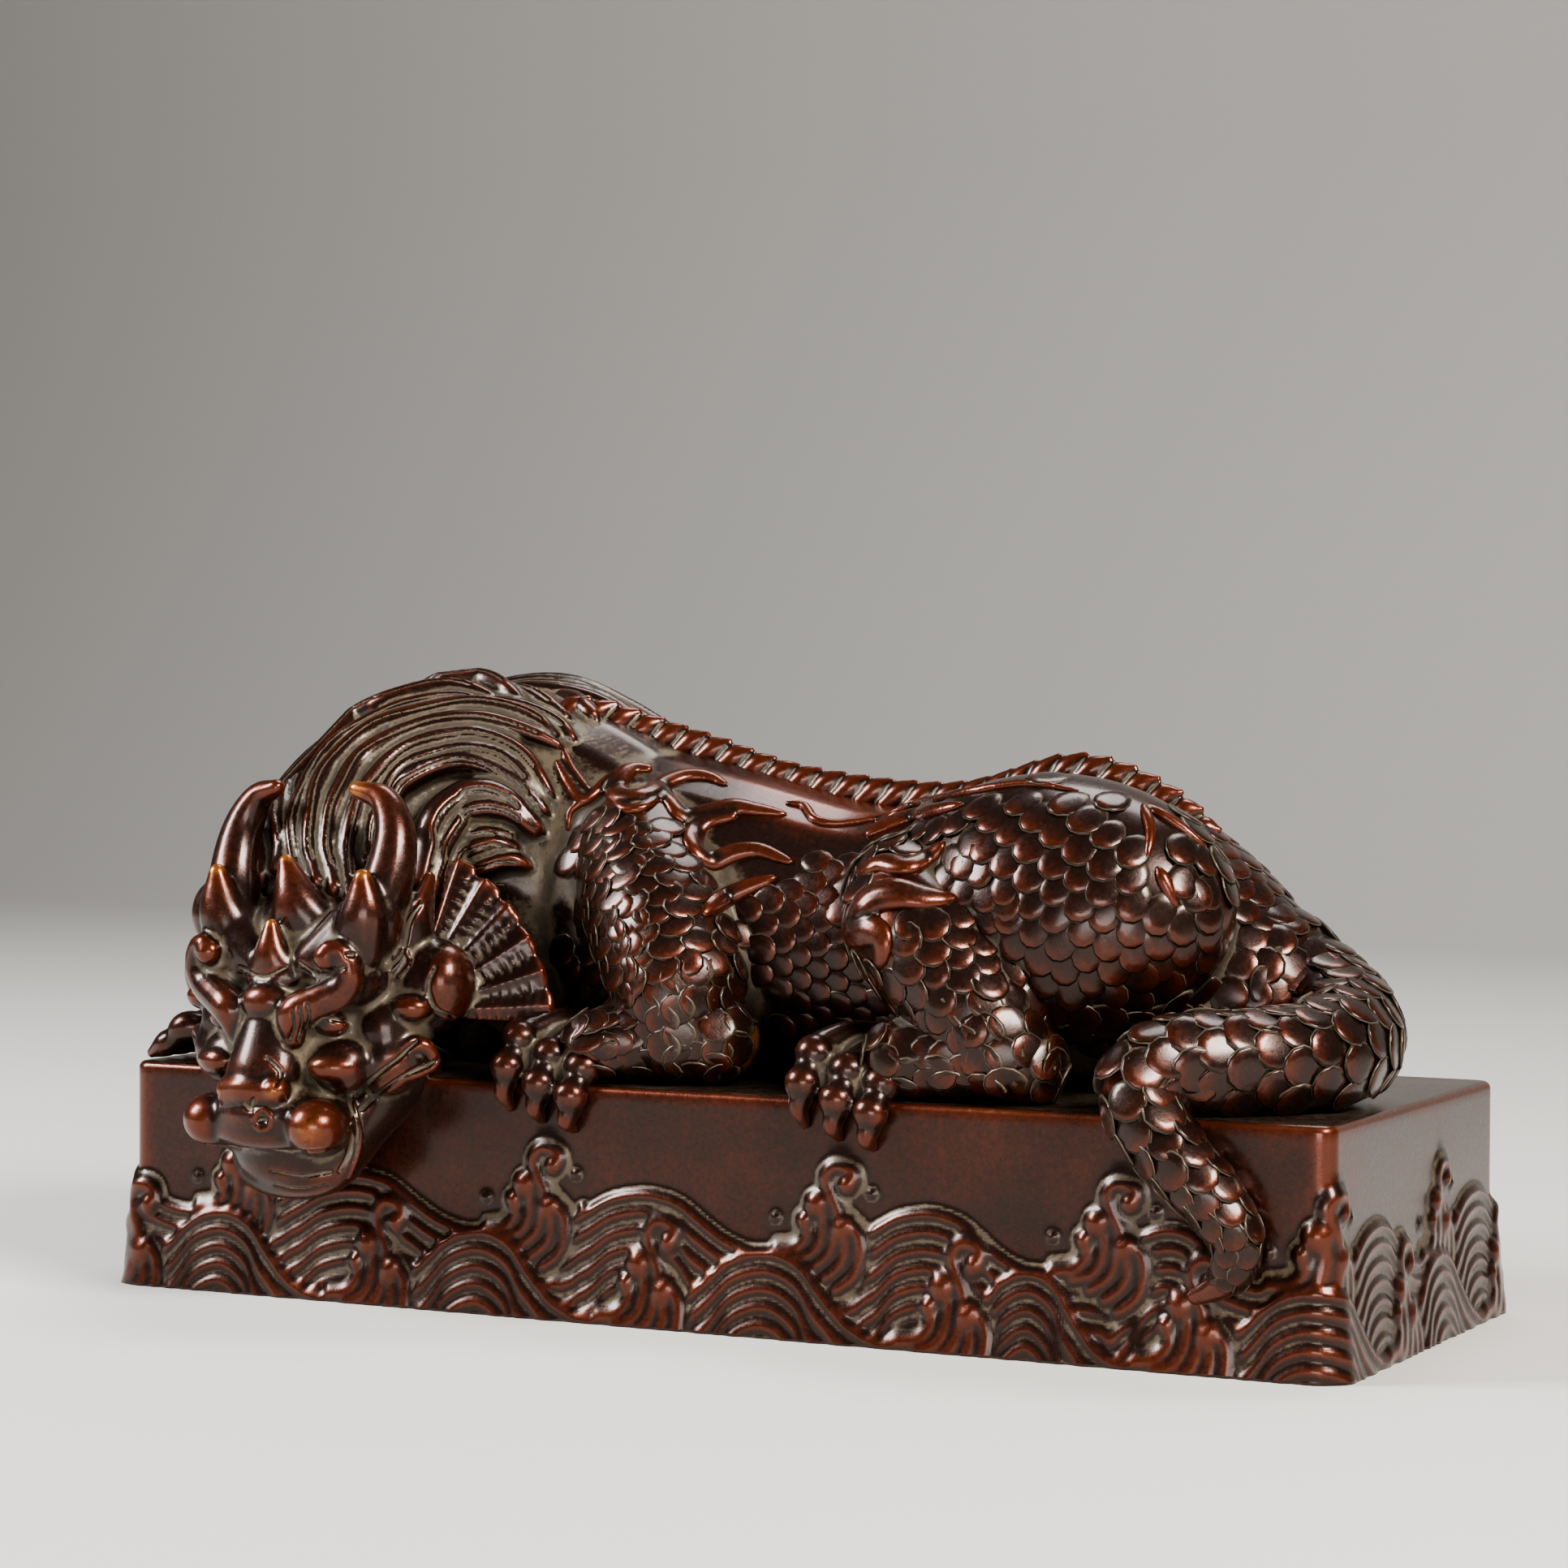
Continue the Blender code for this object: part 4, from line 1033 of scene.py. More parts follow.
# (sheet, half width in mm, height in mm, places from root to tip)
FLAMES = (
    ("shoulder", 1.05, 0.85, ((540, 204), (485, 204), (440, 232), (418, 285), (450, 312), (530, 300),
                              (600, 255), (680, 228), (760, 232), (828, 264))),
    ("shoulder", 1.05, 0.85, ((590, 270), (622, 330), (672, 385), (760, 368), (850, 345), (940, 355),
                              (1048, 372))),
    ("shoulder", 1.05, 0.85, ((850, 378), (760, 395), (705, 440), (706, 500), (770, 545), (860, 512),
                              (950, 505), (1072, 552))),
    ("shoulder", 0.9, 0.75, ((740, 738), (800, 692), (900, 642), (1012, 602))),
    ("shoulder", 0.55, 0.6, ((410, 310), (450, 352), (520, 345), (590, 300))),
    ("shoulder", 0.45, 0.5, ((1050, 330), (1112, 342), (1155, 392), (1250, 405), (1400, 380), (1500, 340),
                             (1620, 296))),
    ("shoulder", 0.45, 0.5, ((215, 112), (250, 200), (312, 300), (250, 360), (240, 440))),
    ("shoulder", 0.6, 0.7, ((200, 180), (240, 250), (300, 320), (380, 250), (430, 200))),
    ("hip", 0.45, 0.5, ((0, 160), (150, 92), (350, 48), (560, 18), (760, 48))),
    ("hip", 1.0, 0.8, ((-60, 352), (20, 312), (110, 326), (200, 285), (252, 232))),
    ("hip", 1.0, 0.8, ((-30, 205), (60, 165), (180, 126), (322, 94))),
    ("hip", 1.5, 1.1, ((-85, 590), (-60, 500), (0, 440), (80, 425), (180, 440), (292, 442))),
    ("hip", 1.4, 1.0, ((-95, 470), (-85, 560), (-20, 560), (20, 600), (10, 700))),
    ("hip", 0.5, 0.6, ((985, 100), (1012, 190), (1000, 300))),
    ("hip", 0.5, 0.6, ((1000, 100), (1110, 170), (1225, 262))),
    ("hip", 0.6, 0.6, ((1040, 330), (1075, 400), (1110, 480))),
)


def flames():
    tree = skin_tree(body)
    clay = Clay()
    for sheet, wide, high, stroke in FLAMES:
        places, ways = laid_on(tree, sheet, stroke, 8)
        if len(places) < 6:
            continue
        widths = shaped_widths(len(places), FLAME_SWELL * wide / 1000, start=0.5, tip=0.15, peak=0.3)
        sizes = [(w, FLAME_RISE * w * high / wide) for w in widths]
        clay.roll([p + n * 0.0001 for p, n in zip(places, ways)], sizes, ways, 12)
    return welded(clay, "flames_and_borders", FLAME_VOXEL, 1)


flame_form = flames()
mark_wear(flame_form)
take(flame_form)
flame_tree = skin_tree(flame_form)

# %% [markdown]
# ## Scales
# The scales lie like roof tiles: each row is shifted by half a scale and covers the root of the next. Every
# limb is treated as a tube. Points are set round it in rows, sent inwards until they meet the skin, and kept
# where the skin is this limb's own. A Geometry Nodes tree then puts one scale on each point, turned to the
# skin and to the flow.

# %% One scale
def one_scale():
    """A thin shield one unit long: its root is sunk, its round free edge stands clear."""
    shell = bmesh.new()
    bmesh.ops.create_uvsphere(shell, u_segments=12, v_segments=6, radius=0.5)
    for v in shell.verts:
        x, y, z = v.co
        flat = math.copysign(abs(2 * z) ** 0.7 / 2, z)
        full = 1 - 0.30 * max(0.0, -x * 2) ** 2
        crown = 0.02 - 0.10 * y * y if z > 0 else 0
        v.co = (x * 1.24, y * 1.12 * full, flat * 0.125 + 0.115 * (x + 0.1) + crown)
    data = bpy.data.meshes.new("one_scale")
    shell.to_mesh(data)
    shell.free()
    worn = data.attributes.new("worn", "FLOAT", "POINT")
    values = []
    for v in data.vertices:
        away = math.hypot(v.co.x / 1.24, v.co.y / 1.12) * 2
        # The rim and the underside are set near 0, so the material gives them the crevice colour: dust
        # darkened with painted shade along each scale's edge.
        if away > 0.93:
            values.append(0.04)
        else:
            values.append(0.57 + 0.50 * v.co.x if v.co.z > 0.115 * (v.co.x + 0.1) else 0.1)
    worn.data.foreach_set("value", values)
    data.polygons.foreach_set("use_smooth", [True] * len(data.polygons))
    return put_in_scene("one_scale", data)


# %% Where the scales lie
# Each field: stations of (along, inward, up, radius), first and last angle, then a scale's length and width
# in mm, and how much its relief is raised
FIELDS = {
    "forearm": (((3, 9, 5.6, 5.8), (-6, 7, 5.3, 5.2), (-14, 4, 5, 4.6)), -60, 150, 3.6, 3.8, 0.45),
    "hind_foot": (((45, 6.5, 4.8, 5), (34, 5.5, 5, 5), (27, 4, 4.8, 4.6)), -60, 150, 4.0, 4.0, 0.7),
    "upper_arm": (((-18, 19, 30, 9), (-12, 14, 21, 9), (-7, 10, 13, 8.5), (-4, 8, 7, 7)), -88, 130, 3.3, 4.6,
                  0.85),
    "shank": (((18, 14, 26, 8), (25, 9.5, 20, 8), (31, 7.5, 13, 7.5), (38, 6.5, 7, 6.5)), -80, 130, 4.0, 4.0,
              1.0),
    "thigh": (((47, 17, 36, 12), (44, 17, 31, 15), (40, 17, 23, 17), (36, 17, 14, 15), (33, 17, 7, 12)), -84,
              84, 4.3, 3.9, 1.05),
    "side": (((-14, 30.5, 18, 18.7), (-8, 30.5, 18, 18.5), (10, 30.5, 16, 17), (26, 30.5, 16.5, 17.5)),
             -35, 42, 3.9, 3.4, 1.0),
    "rump": (((48, 30.5, 15, 16), (56, 30.5, 12, 13.5), (64, 30.5, 10, 11)), -40, 220, 4.2, 4.4, 1.0),
    "tail": (((62, 30.5, 10, 11), (69, 29, 8.6, 8.6), (72.7, 24, 7.3, 7.4), (73, 15.5, 6.2, 6.3),
              (67, 7.5, 5.8, 5.8), (60.5, 2.2, 5.6, 5.3), (57.6, -1.4, 2.8, 4.4), (62.2, -2.7, -3.6, 3.8),
              (66.8, -2.5, -8.2, 3.4), (69.8, -2.1, -12.8, 2.8), (68.4, -1.6, -17.4, 2.0)),
             -180, 176, 4.6, 4.7, 1.05),
    "far_forearm": (((-51, 48, 7, 6.5), (-56, 46, 6, 6), (-66, 32, 5, 5), (-70, 18, 4.5, 4.3)),
                    -20, 200, 3.6, 3.8, 0.8),
    "far_arm": (((-26, 44, 24, 9), (-38, 49, 15, 8), (-50, 48, 8, 7)), 30, 230, 3.6, 4.6, 1.0),
    "far_thigh": (((47, 43, 32, 12), (42, 43, 25, 14), (37, 43, 16, 14), (33, 43, 8, 12)),
                  96, 264, 4.8, 4.8, 1.0),
    "far_side": (((-18, 30.5, 17, 19), (-8, 30.5, 18, 18.5), (10, 30.5, 16, 17), (24, 30.5, 16.5, 17.5),
                  (38, 30.5, 17, 19)),
                 138, 215, 4.5, 4.2, 1.0),
}
TILE = 0.62
PACKING = 0.86
FINE_LIMB = 4.2
MANE_END = -0.0245
MANE_INNER = -0.004
MANE_FOOT = 0.016
BARE_FOOT = 0.0013
FLAME_CLEARANCE = 0.0012


def cross_section(tree, middle, ahead, radius, angles):
    """Where rays from all round a limb meet its skin: (place, normal) for each angle, or None."""
    side = ahead.cross(Vector((0, 0, 1)))
    side = -side if side.y > 0 else side
    side.normalize()
    rise = side.cross(ahead).normalized()
    rise = -rise if rise.z < 0 else rise
    met = []
    for angle in angles:
        out = side * math.cos(angle) + rise * math.sin(angle)
        hit, normal, _, _ = tree.ray_cast(middle + out * radius * 1.8, -out, radius * 1.5)
        met.append(None if hit is None or normal.dot(out) < 0.2 else (hit, normal))
    return met


def bare(place):
    """No scale lies under a flame, on the neck before the shoulder, nor where a limb meets the plinth."""
    over_plinth = abs(place.x) < PLINTH_LENGTH / 2 and abs(place.y) < PLINTH_WIDTH / 2
    at_foot = over_plinth and place.z < PLINTH_HEIGHT + BARE_FOOT
    on_neck = place.x < MANE_END and place.y < MANE_INNER and place.z > PLINTH_HEIGHT + MANE_FOOT
    return on_neck or at_foot or flame_tree.find_nearest(place, FLAME_CLEARANCE)[0] is not None


def lay_rows(tree, stations, first, last, long, wide, relief, taken):
    """Points, outward ways, flows and sizes for one field, in rows shifted by half a scale in turn."""
    line = smooth_path(stations, 12)
    middles = np.array([list(spot(*row[:3])) for row in line])
    radii = line[:, 3] * SHARE
    run = np.concatenate([[0], np.cumsum(np.linalg.norm(np.diff(middles, axis=0), axis=1))])
    angles = np.radians(np.linspace(first, last, 121))
    found, here, row = [], 0.0, 0
    while here < run[-1]:
        middle, before, beyond = (Vector([np.interp(here + d, run, middles[:, i]) for i in range(3)])
                                  for d in (0.0, -0.002, 0.002))
        ahead = (beyond - before).normalized()
        radius = float(np.interp(here, run, radii))
        size = min(1.0, max(0.42, radius * 1000 / FINE_LIMB))
        step = wide * 0.001 * PACKING * size
        met = cross_section(tree, middle, ahead, radius, angles)
        for way in (1, -1):
            due = step * (0.5 if row % 2 else (0.0 if way > 0 else 1.0))
            gone, last_place = 0.0, None
            for at in range(60, 121 if way > 0 else -1, way):
                if met[at] is None:
                    gone += radius * abs(angles[1] - angles[0])
                    last_place = None
                    continue
                place, normal = met[at]
                if last_place is not None:
                    gone += min((place - last_place).length, 0.0015)
                last_place = place
                if gone >= due:
                    found.append((place, normal, ahead, long * size, wide * size, relief))
                    due += step
        here += long * 0.001 * TILE * size
        row += 1
    found = [f for f in found if not bare(f[0])]
    if len(taken):
        others = np.array([list(f[0]) for f in taken])
        found = [f for f in found if np.linalg.norm(others - np.array(f[0]), axis=1).min() > 0.00042 * f[4]]
    return found


# %% The tree that lays them
def scale_tree(prototype):
    """Points in, dressed scales out: each takes its turn and size from its point, times the input Size."""
    tree = bpy.data.node_groups.new("lay_scales", "GeometryNodeTree")
    tree.interface.new_socket("Geometry", in_out="INPUT", socket_type="NodeSocketGeometry")
    size = tree.interface.new_socket("Size", in_out="INPUT", socket_type="NodeSocketFloat")
    size.default_value = 1.0
    tree.interface.new_socket("Geometry", in_out="OUTPUT", socket_type="NodeSocketGeometry")

    def node(kind, settings=None, links=()):
        made = tree.nodes.new(kind)
        for key, value in (settings or {}).items():
            setattr(made, key, value)
        for slot, source in links:
            tree.links.new(source, made.inputs[slot])
        return made

    def stored(name):
        made = node("GeometryNodeInputNamedAttribute", {"data_type": "FLOAT_VECTOR"})
        made.inputs["Name"].default_value = name
        return made

    group_in = node("NodeGroupInput")
    to_points = node("GeometryNodeMeshToPoints", links=[("Mesh", group_in.outputs["Geometry"])])
    outward, flow, extent = (stored("outward"), stored("flow"), stored("extent"))
    upright = node("FunctionNodeAlignRotationToVector", {"axis": "Z"},
                   [("Vector", outward.outputs["Attribute"])])
    turned = node("FunctionNodeAlignRotationToVector", {"axis": "X", "pivot_axis": "Z"},
                  [("Rotation", upright.outputs[0]), ("Vector", flow.outputs["Attribute"])])
    sized = node("ShaderNodeVectorMath", {"operation": "SCALE"},
                 [(0, extent.outputs["Attribute"]), ("Scale", group_in.outputs["Size"])])
    shape = node("GeometryNodeObjectInfo")
    shape.inputs["Object"].default_value = prototype
    lay = node("GeometryNodeInstanceOnPoints",
               links=[("Points", to_points.outputs[0]), ("Instance", shape.outputs["Geometry"]),
                      ("Rotation", turned.outputs[0]), ("Scale", sized.outputs[0])])
    real = node("GeometryNodeRealizeInstances", links=[(0, lay.outputs[0])])
    dress = node("GeometryNodeSetMaterial", links=[(0, real.outputs[0])])
    dress.inputs["Material"].default_value = patinated
    node("NodeGroupOutput", links=[(0, dress.outputs[0])])
    return tree, size.identifier


# %% Lay the scales
def lay_scales(name, found, prototype):
    """One scale on each found point, each a little larger or smaller than its neighbours."""
    data = bpy.data.meshes.new(name)
    places, outward, flow, longs, wides, reliefs = zip(*found)
    data.from_pydata([tuple(place) for place in places], [], [])
    jitter = rng.uniform(0.92, 1.08, len(found))
    extent = [Vector((a * j, b * j, 0.5 * (a + b) * j * c)) * 0.001
              for a, b, c, j in zip(longs, wides, reliefs, jitter)]
    for key, values in (("outward", outward), ("flow", flow), ("extent", extent)):
        layer = data.attributes.new(key, "FLOAT_VECTOR", "POINT")
        layer.data.foreach_set("vector", np.array([list(v) for v in values], np.float32).ravel())
    form = put_in_scene(name, data)
    tree, size = scale_tree(prototype)
    laying = form.modifiers.new("lay_scales", "NODES")
    laying.node_group = tree
    laying[size] = 1.0
    settle(form)
    return form


prototype = one_scale()
near_scales, far_scales = [], []
for field, (stations, first, last, long, wide, relief) in FIELDS.items():
    found = lay_rows(body_tree, stations, first, last, long, wide, relief, near_scales + far_scales)
    print(field, len(found), "scales")
    (far_scales if field.startswith("far") else near_scales).extend(found)
for name, found in (("scales_near", near_scales), ("scales_far", far_scales)):
    take(lay_scales(name, found, prototype))
bpy.data.objects.remove(prototype, do_unlink=True)

# %% [markdown]
# ## Dorsal ridge
# Along the spine runs a row of small fins that lean back and overlap. Each is a short roll that starts inside
# the back and rises to a fine tip over the root of the next, and the fins are spaced evenly along the spine's
# curve.

# %% Fins along the spine
RIDGE_FINS = 36
FIN_REACH = 3.9
SPINE = [(-34, 25, 44.8), (-27, 28.5, 43.8), (-20, 31, 41.4), (-12, 31, 39.2), (1, 31, 35.6), (21, 31, 34),
         (37, 31, 37.8), (50, 31, 33.4),
         (58, 31, 25.5), (66, 30, 18), (72, 26, 13.8)]


def ridge_fins():
    fins = Clay()
    line = smooth_path(SPINE, 12)
    spans = np.linalg.norm(np.diff(line, axis=0), axis=1)
    run = np.concatenate([[0], np.cumsum(spans)])
    for k in range(RIDGE_FINS):
        here = run[-1] * (k + 0.5) / RIDGE_FINS
        x, y, z = (float(np.interp(here, run, line[:, i])) for i in range(3))
        a, b, c = (float(np.interp(here + FIN_REACH, run, line[:, i])) for i in range(3))
        fins.sweep([(x, y, z - 1.0, 1.6, 1.3), ((x + a) / 2, (y + b) / 2, (z + c) / 2 + 0.7, 1.4, 1.6),
                    (a, b, c + 2.1, 0.5, 0.5)])
    return welded(fins, "dorsal_fins", 0.0003, 1)


fins = ridge_fins()
mark_wear(fins)
take(fins)

# %% [markdown]
# ## Plinth and waves
# The block's wall is one grid wrapped round its outline. The waves are a height field on that grid: hills in
# two rows, each filled with ridges that follow its outline, and crests whose fingers end in round knobs. The
# same drawing also says how polished each place is, because a ridge is rubbed and the groove beside it isn't.

# %% Run round the plinth's outline
def perimeter_length():
    straight = 2 * (PLINTH_LENGTH + PLINTH_WIDTH - 4 * PLINTH_CORNER)
    return straight + 2 * math.pi * PLINTH_CORNER


def perimeter_places(run):
    """Where a run along the outline lies, and which way is out there, from the front face's -X end on."""
    r = PLINTH_CORNER
    long, short, bend = PLINTH_LENGTH - 2 * r, PLINTH_WIDTH - 2 * r, math.pi / 2 * r
    hx, hy = long / 2, short / 2
    x, y, way = np.zeros_like(run), np.zeros_like(run), np.zeros_like(run)
    start = 0.0
    corners = [(-hx, -hy, 1, 0, long, hx, -hy), (hx, -hy, 0, 1, short, hx, hy),
               (hx, hy, -1, 0, long, -hx, hy), (-hx, hy, 0, -1, short, -hx, -hy)]
    for side, (x0, y0, dx, dy, span, cx, cy) in enumerate(corners):
        out = math.radians(-90 + 90 * side)
        on = (run >= start) & (run <= start + span)
        x[on] = x0 + dx * (run[on] - start) + r * math.cos(out)
        y[on] = y0 + dy * (run[on] - start) + r * math.sin(out)
        way[on] = out
        start += span
        on = (run > start) & (run <= start + bend + 1e-9)
        way[on] = out + (run[on] - start) / r
        x[on] = cx + r * np.cos(way[on])
        y[on] = cy + r * np.sin(way[on])
        start += bend
    return x, y, way


# %% The waves' drawing
# One wave of the relief, from the foot of one crest to the next: share of its length, share of its height
WAVE_OUTLINE = ((0.0, 0.0), (0.07, 0.05), (0.14, 0.10), (0.21, 0.12), (0.27, 0.22), (0.31, 0.35),
                (0.364, 0.56),
                (0.46, 0.88), (0.58, 1.0), (0.69, 0.86), (0.77, 0.52), (0.85, 0.2), (0.93, 0.03), (1.0, 0.0))
# The crest's fingers, in mm from the crest's foot: (half width of the knob at the end, path)
CREST_FINGERS = (
    (1.25, ((0.0, -0.2), (3.1, 0.2), (4.7, 1.8), (4.3, 3.6))),
    (1.95, ((3.0, -1.0), (5.6, 0.0), (6.7, 2.2), (6.7, 4.2), (5.9, 5.6))),
    (1.4, ((5.2, -2.0), (7.4, -0.4), (8.3, 1.8), (8.6, 4.6), (7.6, 6.8), (7.0, 8.6), (8.0, 10.0), (10.0, 9.8),
           (10.6, 8.7), (9.8, 8.0))),
    (1.65, ((7.0, -3.0), (9.0, -1.4), (9.7, 0.8), (9.2, 2.9))),
    (1.0, ((8.6, -4.2), (10.7, -2.6), (11.5, -0.2), (11.3, 2.0), (9.8, 3.6))),
)
FINGER_WIDTH = 0.0015
PALM_WIDTH = 0.0021
PALM_TOP = 0.0064
SPRAY = ((12.8, 7.1), (13.8, 3.3), (0.3, 3.6))
SPRAY_WIDTH = 0.00055
VALLEY_POLISH = 0.24
PALM_POLISH = 0.26
# Where the crests' feet stand along the front face, in mm from its middle; the others are shared evenly round
UPPER_FEET = (-70.3, -27.9, 11.4, 46.6, 72.4)
LOWER_FEET = (-49.8, -11.8, 27.8, 56.9)
# Each row: height of its valleys and of its peaks, feet, how far it stands before the row behind, how much
# its crests are stretched
WAVE_ROWS = ((0.0104, 0.0164, UPPER_FEET, 0.0, 1.0), (0.0012, 0.0106, LOWER_FEET, 0.35, 1.14))


# %% Raise the waves
def crest_feet(on_front):
    """The runs of all crest feet round the plinth, the first one again at the end."""
    around = perimeter_length()
    front = [x / 1000 + PLINTH_LENGTH / 2 - PLINTH_CORNER for x in on_front]
    more = WAVE_COUNT_ROUND - len(front)
    gap = around - (front[-1] - front[0])
    shared = [front[-1] + gap * (k + 1) / (more + 1) for k in range(more)]
    return np.array(front + shared + [front[0] + around])


def bump(away, width):
    """A soft round swelling: 1 on its middle line, 0 beyond its width."""
    return 0.5 + 0.5 * np.cos(math.pi * np.clip(np.abs(away) / width, 0, 1))


def distance_to_path(x, y, path):
    best = np.full(x.shape, 1.0)
    for (x0, y0), (x1, y1) in zip(path, path[1:]):
        dx, dy = x1 - x0, y1 - y0
        t = np.clip(((x - x0) * dx + (y - y0) * dy) / (dx * dx + dy * dy), 0, 1)
        best = np.minimum(best, np.hypot(x - x0 - t * dx, y - y0 - t * dy))
    return best


def wave_relief(run, up):
    """How far the waves stand out, as a share of WAVE_DEPTH, and how polished they are there."""
    raised = np.zeros_like(run)
    polish = np.full_like(run, VALLEY_POLISH)
    outline = smooth_path(WAVE_OUTLINE, 6)
    for valley, peak, on_front, level, stretch in WAVE_ROWS:
        feet = crest_feet(on_front)
        here = (run - feet[0]) % perimeter_length() + feet[0]
        which = np.clip(np.searchsorted(feet, here, side="right") - 1, 0, len(feet) - 2)
        pitch = (feet[1:] - feet[:-1])[which]
        across = here - feet[which]
        share = across / pitch
        top = valley + (peak - valley) * np.interp(share, outline[:, 0], outline[:, 1])
        slope = np.interp(share, outline[:-1, 0], np.diff(outline[:, 1]) / np.diff(outline[:, 0]))
        slope = slope * (peak - valley) / pitch
        below = (top - up) / np.sqrt(1 + slope ** 2)
        phase = ((below + 0.0004) / BAND_PITCH) % 1.0
        band = bump(phase - 0.50, 0.52) ** 0.38
        rim = np.clip(below / 0.0004, 0, 1)
        raised = raised * (1 - rim) + rim * (level + 0.10 + 0.62 * band)
        # At a groove's bottom the polish falls below 0, where the material gives the crevice colour: dust
        # darkened with painted shade.
        polish = polish * (1 - rim) + rim * (0.98 * band - 0.12)
        high = (up - valley) / stretch
        for _, path in CREST_FINGERS:
            palm = np.clip(2.5 * bump(distance_to_path(across, high, smooth_path(path, 5) / 1000),
                                      PALM_WIDTH), 0, 1)
            palm = palm * np.clip((PALM_TOP - high) / 0.001, 0, 1)
            raised = raised * (1 - palm) + palm * (level + 0.22)
            polish = polish * (1 - palm) + palm * PALM_POLISH
        finger, finger_polish = np.zeros_like(run), np.zeros_like(run)
        for knob_width, path in CREST_FINGERS:
            line = smooth_path(path, 5) / 1000
            stem = bump(distance_to_path(across, high, line), FINGER_WIDTH)
            end_x, end_y = path[-1]
            knob = bump(np.hypot(across - end_x / 1000, high - end_y / 1000), knob_width / 1000) ** 0.45
            raised = np.maximum(raised, np.clip(stem * 3, 0, 1) * (level + 0.22 + 0.45 * stem))
            raised = np.maximum(raised, np.clip(knob * 3, 0, 1) * (level + 0.25 + 0.75 * knob))
            finger = np.maximum(finger, np.clip(3 * np.maximum(stem, knob), 0, 1))
            finger_polish = np.maximum(finger_polish, 0.98 * np.maximum(stem ** 0.8, knob ** 0.3) - 0.06)
        polish = polish * (1 - finger) + finger * finger_polish
        if level == 0.0:
            for x, y in SPRAY:
                drop = bump(np.hypot(across - x / 1000, high - y / 1000), 1.5 * SPRAY_WIDTH)
                raised = np.maximum(raised, 0.8 * drop)
                polish = np.maximum(polish, 0.85 * drop ** 0.5)
    return raised, polish


def soften(grid, rounds):
    """Mix each place of the wrapped grid with its neighbours, round after round."""
    for _ in range(rounds):
        grid = (np.roll(grid, 1, 1) + 2 * grid + np.roll(grid, -1, 1)) / 4
        grid = (np.vstack([grid[:1], grid[:-1]]) + 2 * grid + np.vstack([grid[1:], grid[-1:]])) / 4
    return grid


# %% [markdown]
# ## Wall, top and foot of the plinth
# Levels lie close together where the waves are and round the top edge, and far apart on the plain wall
# between. The lid and the underside close the shell. Where there is no relief to measure, the wear is set
# from where a place lies: more on the wall's open face and along the edges, less beside the waves and on the
# top, where dust settles.

# %% Wrap the wall
WAVE_ZONE = 0.0222
PLAIN_LEVELS = [0.0235, 0.0250, 0.0264]
FINE_STEP = 0.00034
NO_RELIEF = 0.05
WALL_WORN = 0.66
LESS_BESIDE_WAVES = 0.46
TOP_WORN = 0.13
UNDERSIDE_WORN = 0.35
EDGE_RUB = 0.40


def plinth():
    """The block as one shell, with each point's plainness, wear of the plain wall, and polish."""
    around = perimeter_length()
    columns = int(round(around / FINE_STEP))
    levels = list(np.arange(0, WAVE_ZONE, FINE_STEP)) + PLAIN_LEVELS
    levels += [PLINTH_HEIGHT - EDGE_ROUND * (1 - math.sin(a)) for a in np.linspace(0, math.pi / 2, 6)]
    levels = np.array(levels)
    run = np.arange(columns) * around / columns
    runs, ups = np.meshgrid(run, levels)
    x, y, way = perimeter_places(runs.ravel())
    up = ups.ravel()
    flare = PLINTH_FLARE * np.clip((0.6 * PLINTH_HEIGHT - up) / (0.6 * PLINTH_HEIGHT), 0, 1) ** 2
    top = ((up - PLINTH_HEIGHT + EDGE_ROUND) / EDGE_ROUND).clip(0)
    rounded = -EDGE_ROUND * (1 - np.sqrt(np.clip(1 - top ** 2, 0, 1)))
    relief, polish = wave_relief(runs.ravel(), up)
    relief = soften(relief.reshape(runs.shape), 2)
    polish = soften(polish.reshape(runs.shape), 1)
    relief = relief.ravel()
    out = flare + rounded + WAVE_DEPTH * relief
    places = np.stack([x + out * np.cos(way), y + out * np.sin(way), up], 1)
    rows = len(levels)
    k = np.arange(columns)
    after = (k + 1) % columns
    faces = []
    for r in range(rows - 1):
        a, b = r * columns, (r + 1) * columns
        faces += np.stack([a + k, a + after, b + after, b + k], 1).tolist()
    near_wave = soften((relief > NO_RELIEF).astype(float).reshape(rows, columns), 3).ravel()
    plain = 1 - np.clip(relief / NO_RELIEF, 0, 1)
    wall_worn = WALL_WORN - LESS_BESIDE_WAVES * near_wave
    shell = bmesh.new()
    made = [shell.verts.new(p) for p in places.tolist()]
    for f in faces:
        shell.faces.new([made[i] for i in f])
    bottom = shell.faces.new([made[i] for i in k[::-1]])
    lid = shell.faces.new([made[(rows - 1) * columns + i] for i in k])
    bmesh.ops.triangulate(shell, faces=[bottom, lid])
    data = bpy.data.meshes.new("plinth_and_waves")
    shell.to_mesh(data)
    shell.free()
    form = put_in_scene("plinth_and_waves", data)
    shade_round(form)
    return form, plain, wall_worn, polish.ravel()


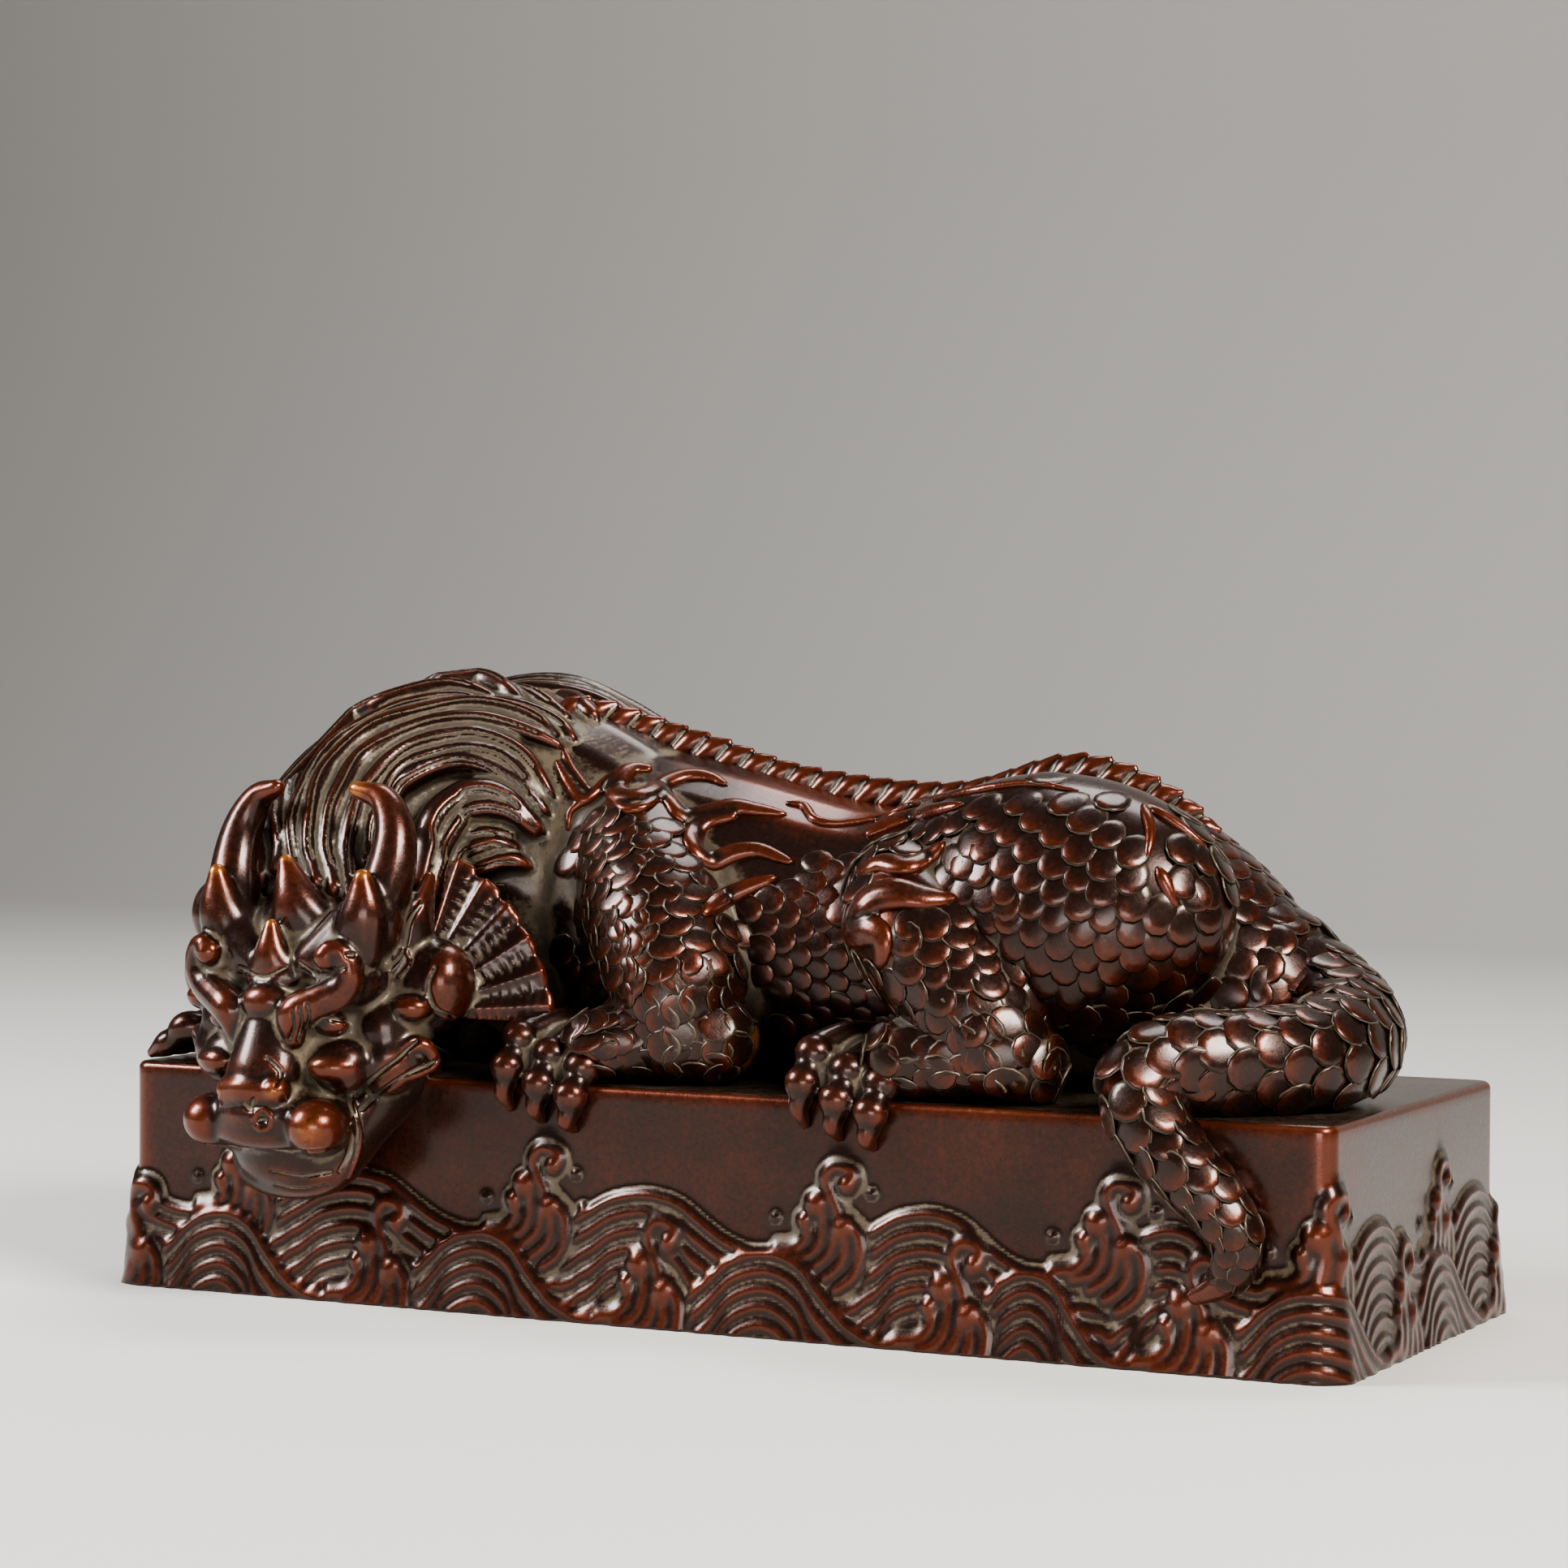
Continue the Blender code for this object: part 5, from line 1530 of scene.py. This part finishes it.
# %% Wear on the plinth
def wear_plinth(form, plain_wall, wall_worn, polish):
    """The waves take their own polish; the plain wall, top and underside get set values, more at edges."""
    places = read_places(form.data)
    worn = read_worn(form)
    up = places[:, 2]
    plain = np.maximum(np.clip((up - 0.0205) / 0.0008, 0, 1), plain_wall)
    to_end = PLINTH_LENGTH / 2 - np.abs(places[:, 0])
    to_side = PLINTH_WIDTH / 2 - np.abs(places[:, 1])
    from_corner = np.hypot(np.clip(to_end, 0, 1), np.clip(to_side, 0, 1))
    top_edge = np.exp(-((up - PLINTH_HEIGHT + 0.0004) / 0.0005) ** 2) * (np.minimum(to_end, to_side) < 0.0012)
    edge = np.maximum(top_edge, np.exp(-(from_corner / 0.0022) ** 2))
    on_top = (up > PLINTH_HEIGHT - 0.0001) & (np.minimum(to_end, to_side) > 0.0006)
    value = np.where(on_top, TOP_WORN, wall_worn) + EDGE_RUB * edge
    worn = (0.15 * worn + 0.85 * polish) * (1 - plain) + value * plain
    write_worn(form, np.where(up < 0.0001, UNDERSIDE_WORN, worn))


block, plain_wall, wall_worn, polish = plinth()
mark_wear(block, near=0.00007, wide=0.00030)
wear_plinth(block, plain_wall, wall_worn, polish)
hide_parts(SOLID)
take(block)

# %% [markdown]
# ## Light and camera
# A large soft light high on the right and a second on the left draw the casting's long highlights. A weak one
# above the back keeps the ridge apart from the floor behind it, and another beside the camera opens the
# shadows on the front. The floor is pale and bends up behind, so that it has no edge in the picture.

# %% Floor, lights and camera
def floor():
    """A pale sheet that runs back and then bends up behind, as in a photographer's studio."""
    line = [(-1.6, 0.0), (0.7, 0.0)] + [(0.7 + 0.5 * math.sin(a), 0.5 - 0.5 * math.cos(a))
                                        for a in np.linspace(0.1, math.pi / 2, 12)] + [(1.2, 2.2)]
    wide = 2.6
    data = bpy.data.meshes.new("floor")
    data.from_pydata([(side * wide, y, z) for y, z in line for side in (-1, 1)], [],
                     [(2 * i, 2 * i + 1, 2 * i + 3, 2 * i + 2) for i in range(len(line) - 1)])
    data.polygons.foreach_set("use_smooth", [True] * len(data.polygons))
    form = put_in_scene("floor", data)
    paint = bpy.data.materials.new("pale_floor")
    paint.use_nodes = True
    paint.node_tree.nodes["Principled BSDF"].inputs["Base Color"].default_value = (0.62, 0.60, 0.57, 1)
    paint.node_tree.nodes["Principled BSDF"].inputs["Roughness"].default_value = 0.75
    data.materials.append(paint)


def soft_light(name, place, target, size, power, colour=(1, 1, 1)):
    """A lamp as wide as a window, turned towards a place on the casting."""
    lamp = bpy.data.lights.new(name, "AREA")
    lamp.shape = "RECTANGLE"
    lamp.size, lamp.size_y = size
    lamp.energy = power
    lamp.color = colour
    made = put_in_scene(name, lamp)
    made.location = place
    made.rotation_euler = (Vector(target) - Vector(place)).to_track_quat("-Z", "Y").to_euler()


floor()
soft_light("right_window", (0.60, -0.30, 0.50), (0.02, 0, 0.04), (0.28, 0.22), 11.0, (1.0, 0.96, 0.90))
soft_light("left_window", (-0.55, -0.35, 0.42), (-0.02, 0, 0.04), (0.22, 0.30), 8.0, (0.96, 0.98, 1.0))
soft_light("top_window", (0.0, 0.30, 0.70), (0, 0, 0.03), (0.4, 0.25), 2.6)
soft_light("front_fill", (0.30, -0.9, 0.10), (0, 0, 0.02), (0.5, 0.2), 2.6)
room = bpy.data.worlds.new("room")
bpy.context.scene.world = room
room.use_nodes = True
room.node_tree.nodes["Background"].inputs["Color"].default_value = (0.55, 0.57, 0.60, 1)
room.node_tree.nodes["Background"].inputs["Strength"].default_value = 0.16
lens = bpy.data.cameras.new("photographer")
lens.sensor_width = SENSOR
lens.lens = LENS_PIXELS / PICTURE * SENSOR
lens.clip_start = 0.01
camera = put_in_scene("photographer", lens)
camera.matrix_world = SIGHT
bpy.context.scene.camera = camera
bpy.context.scene.view_settings.view_transform = "AgX"
bpy.context.scene.view_settings.look = "AgX - Medium High Contrast"
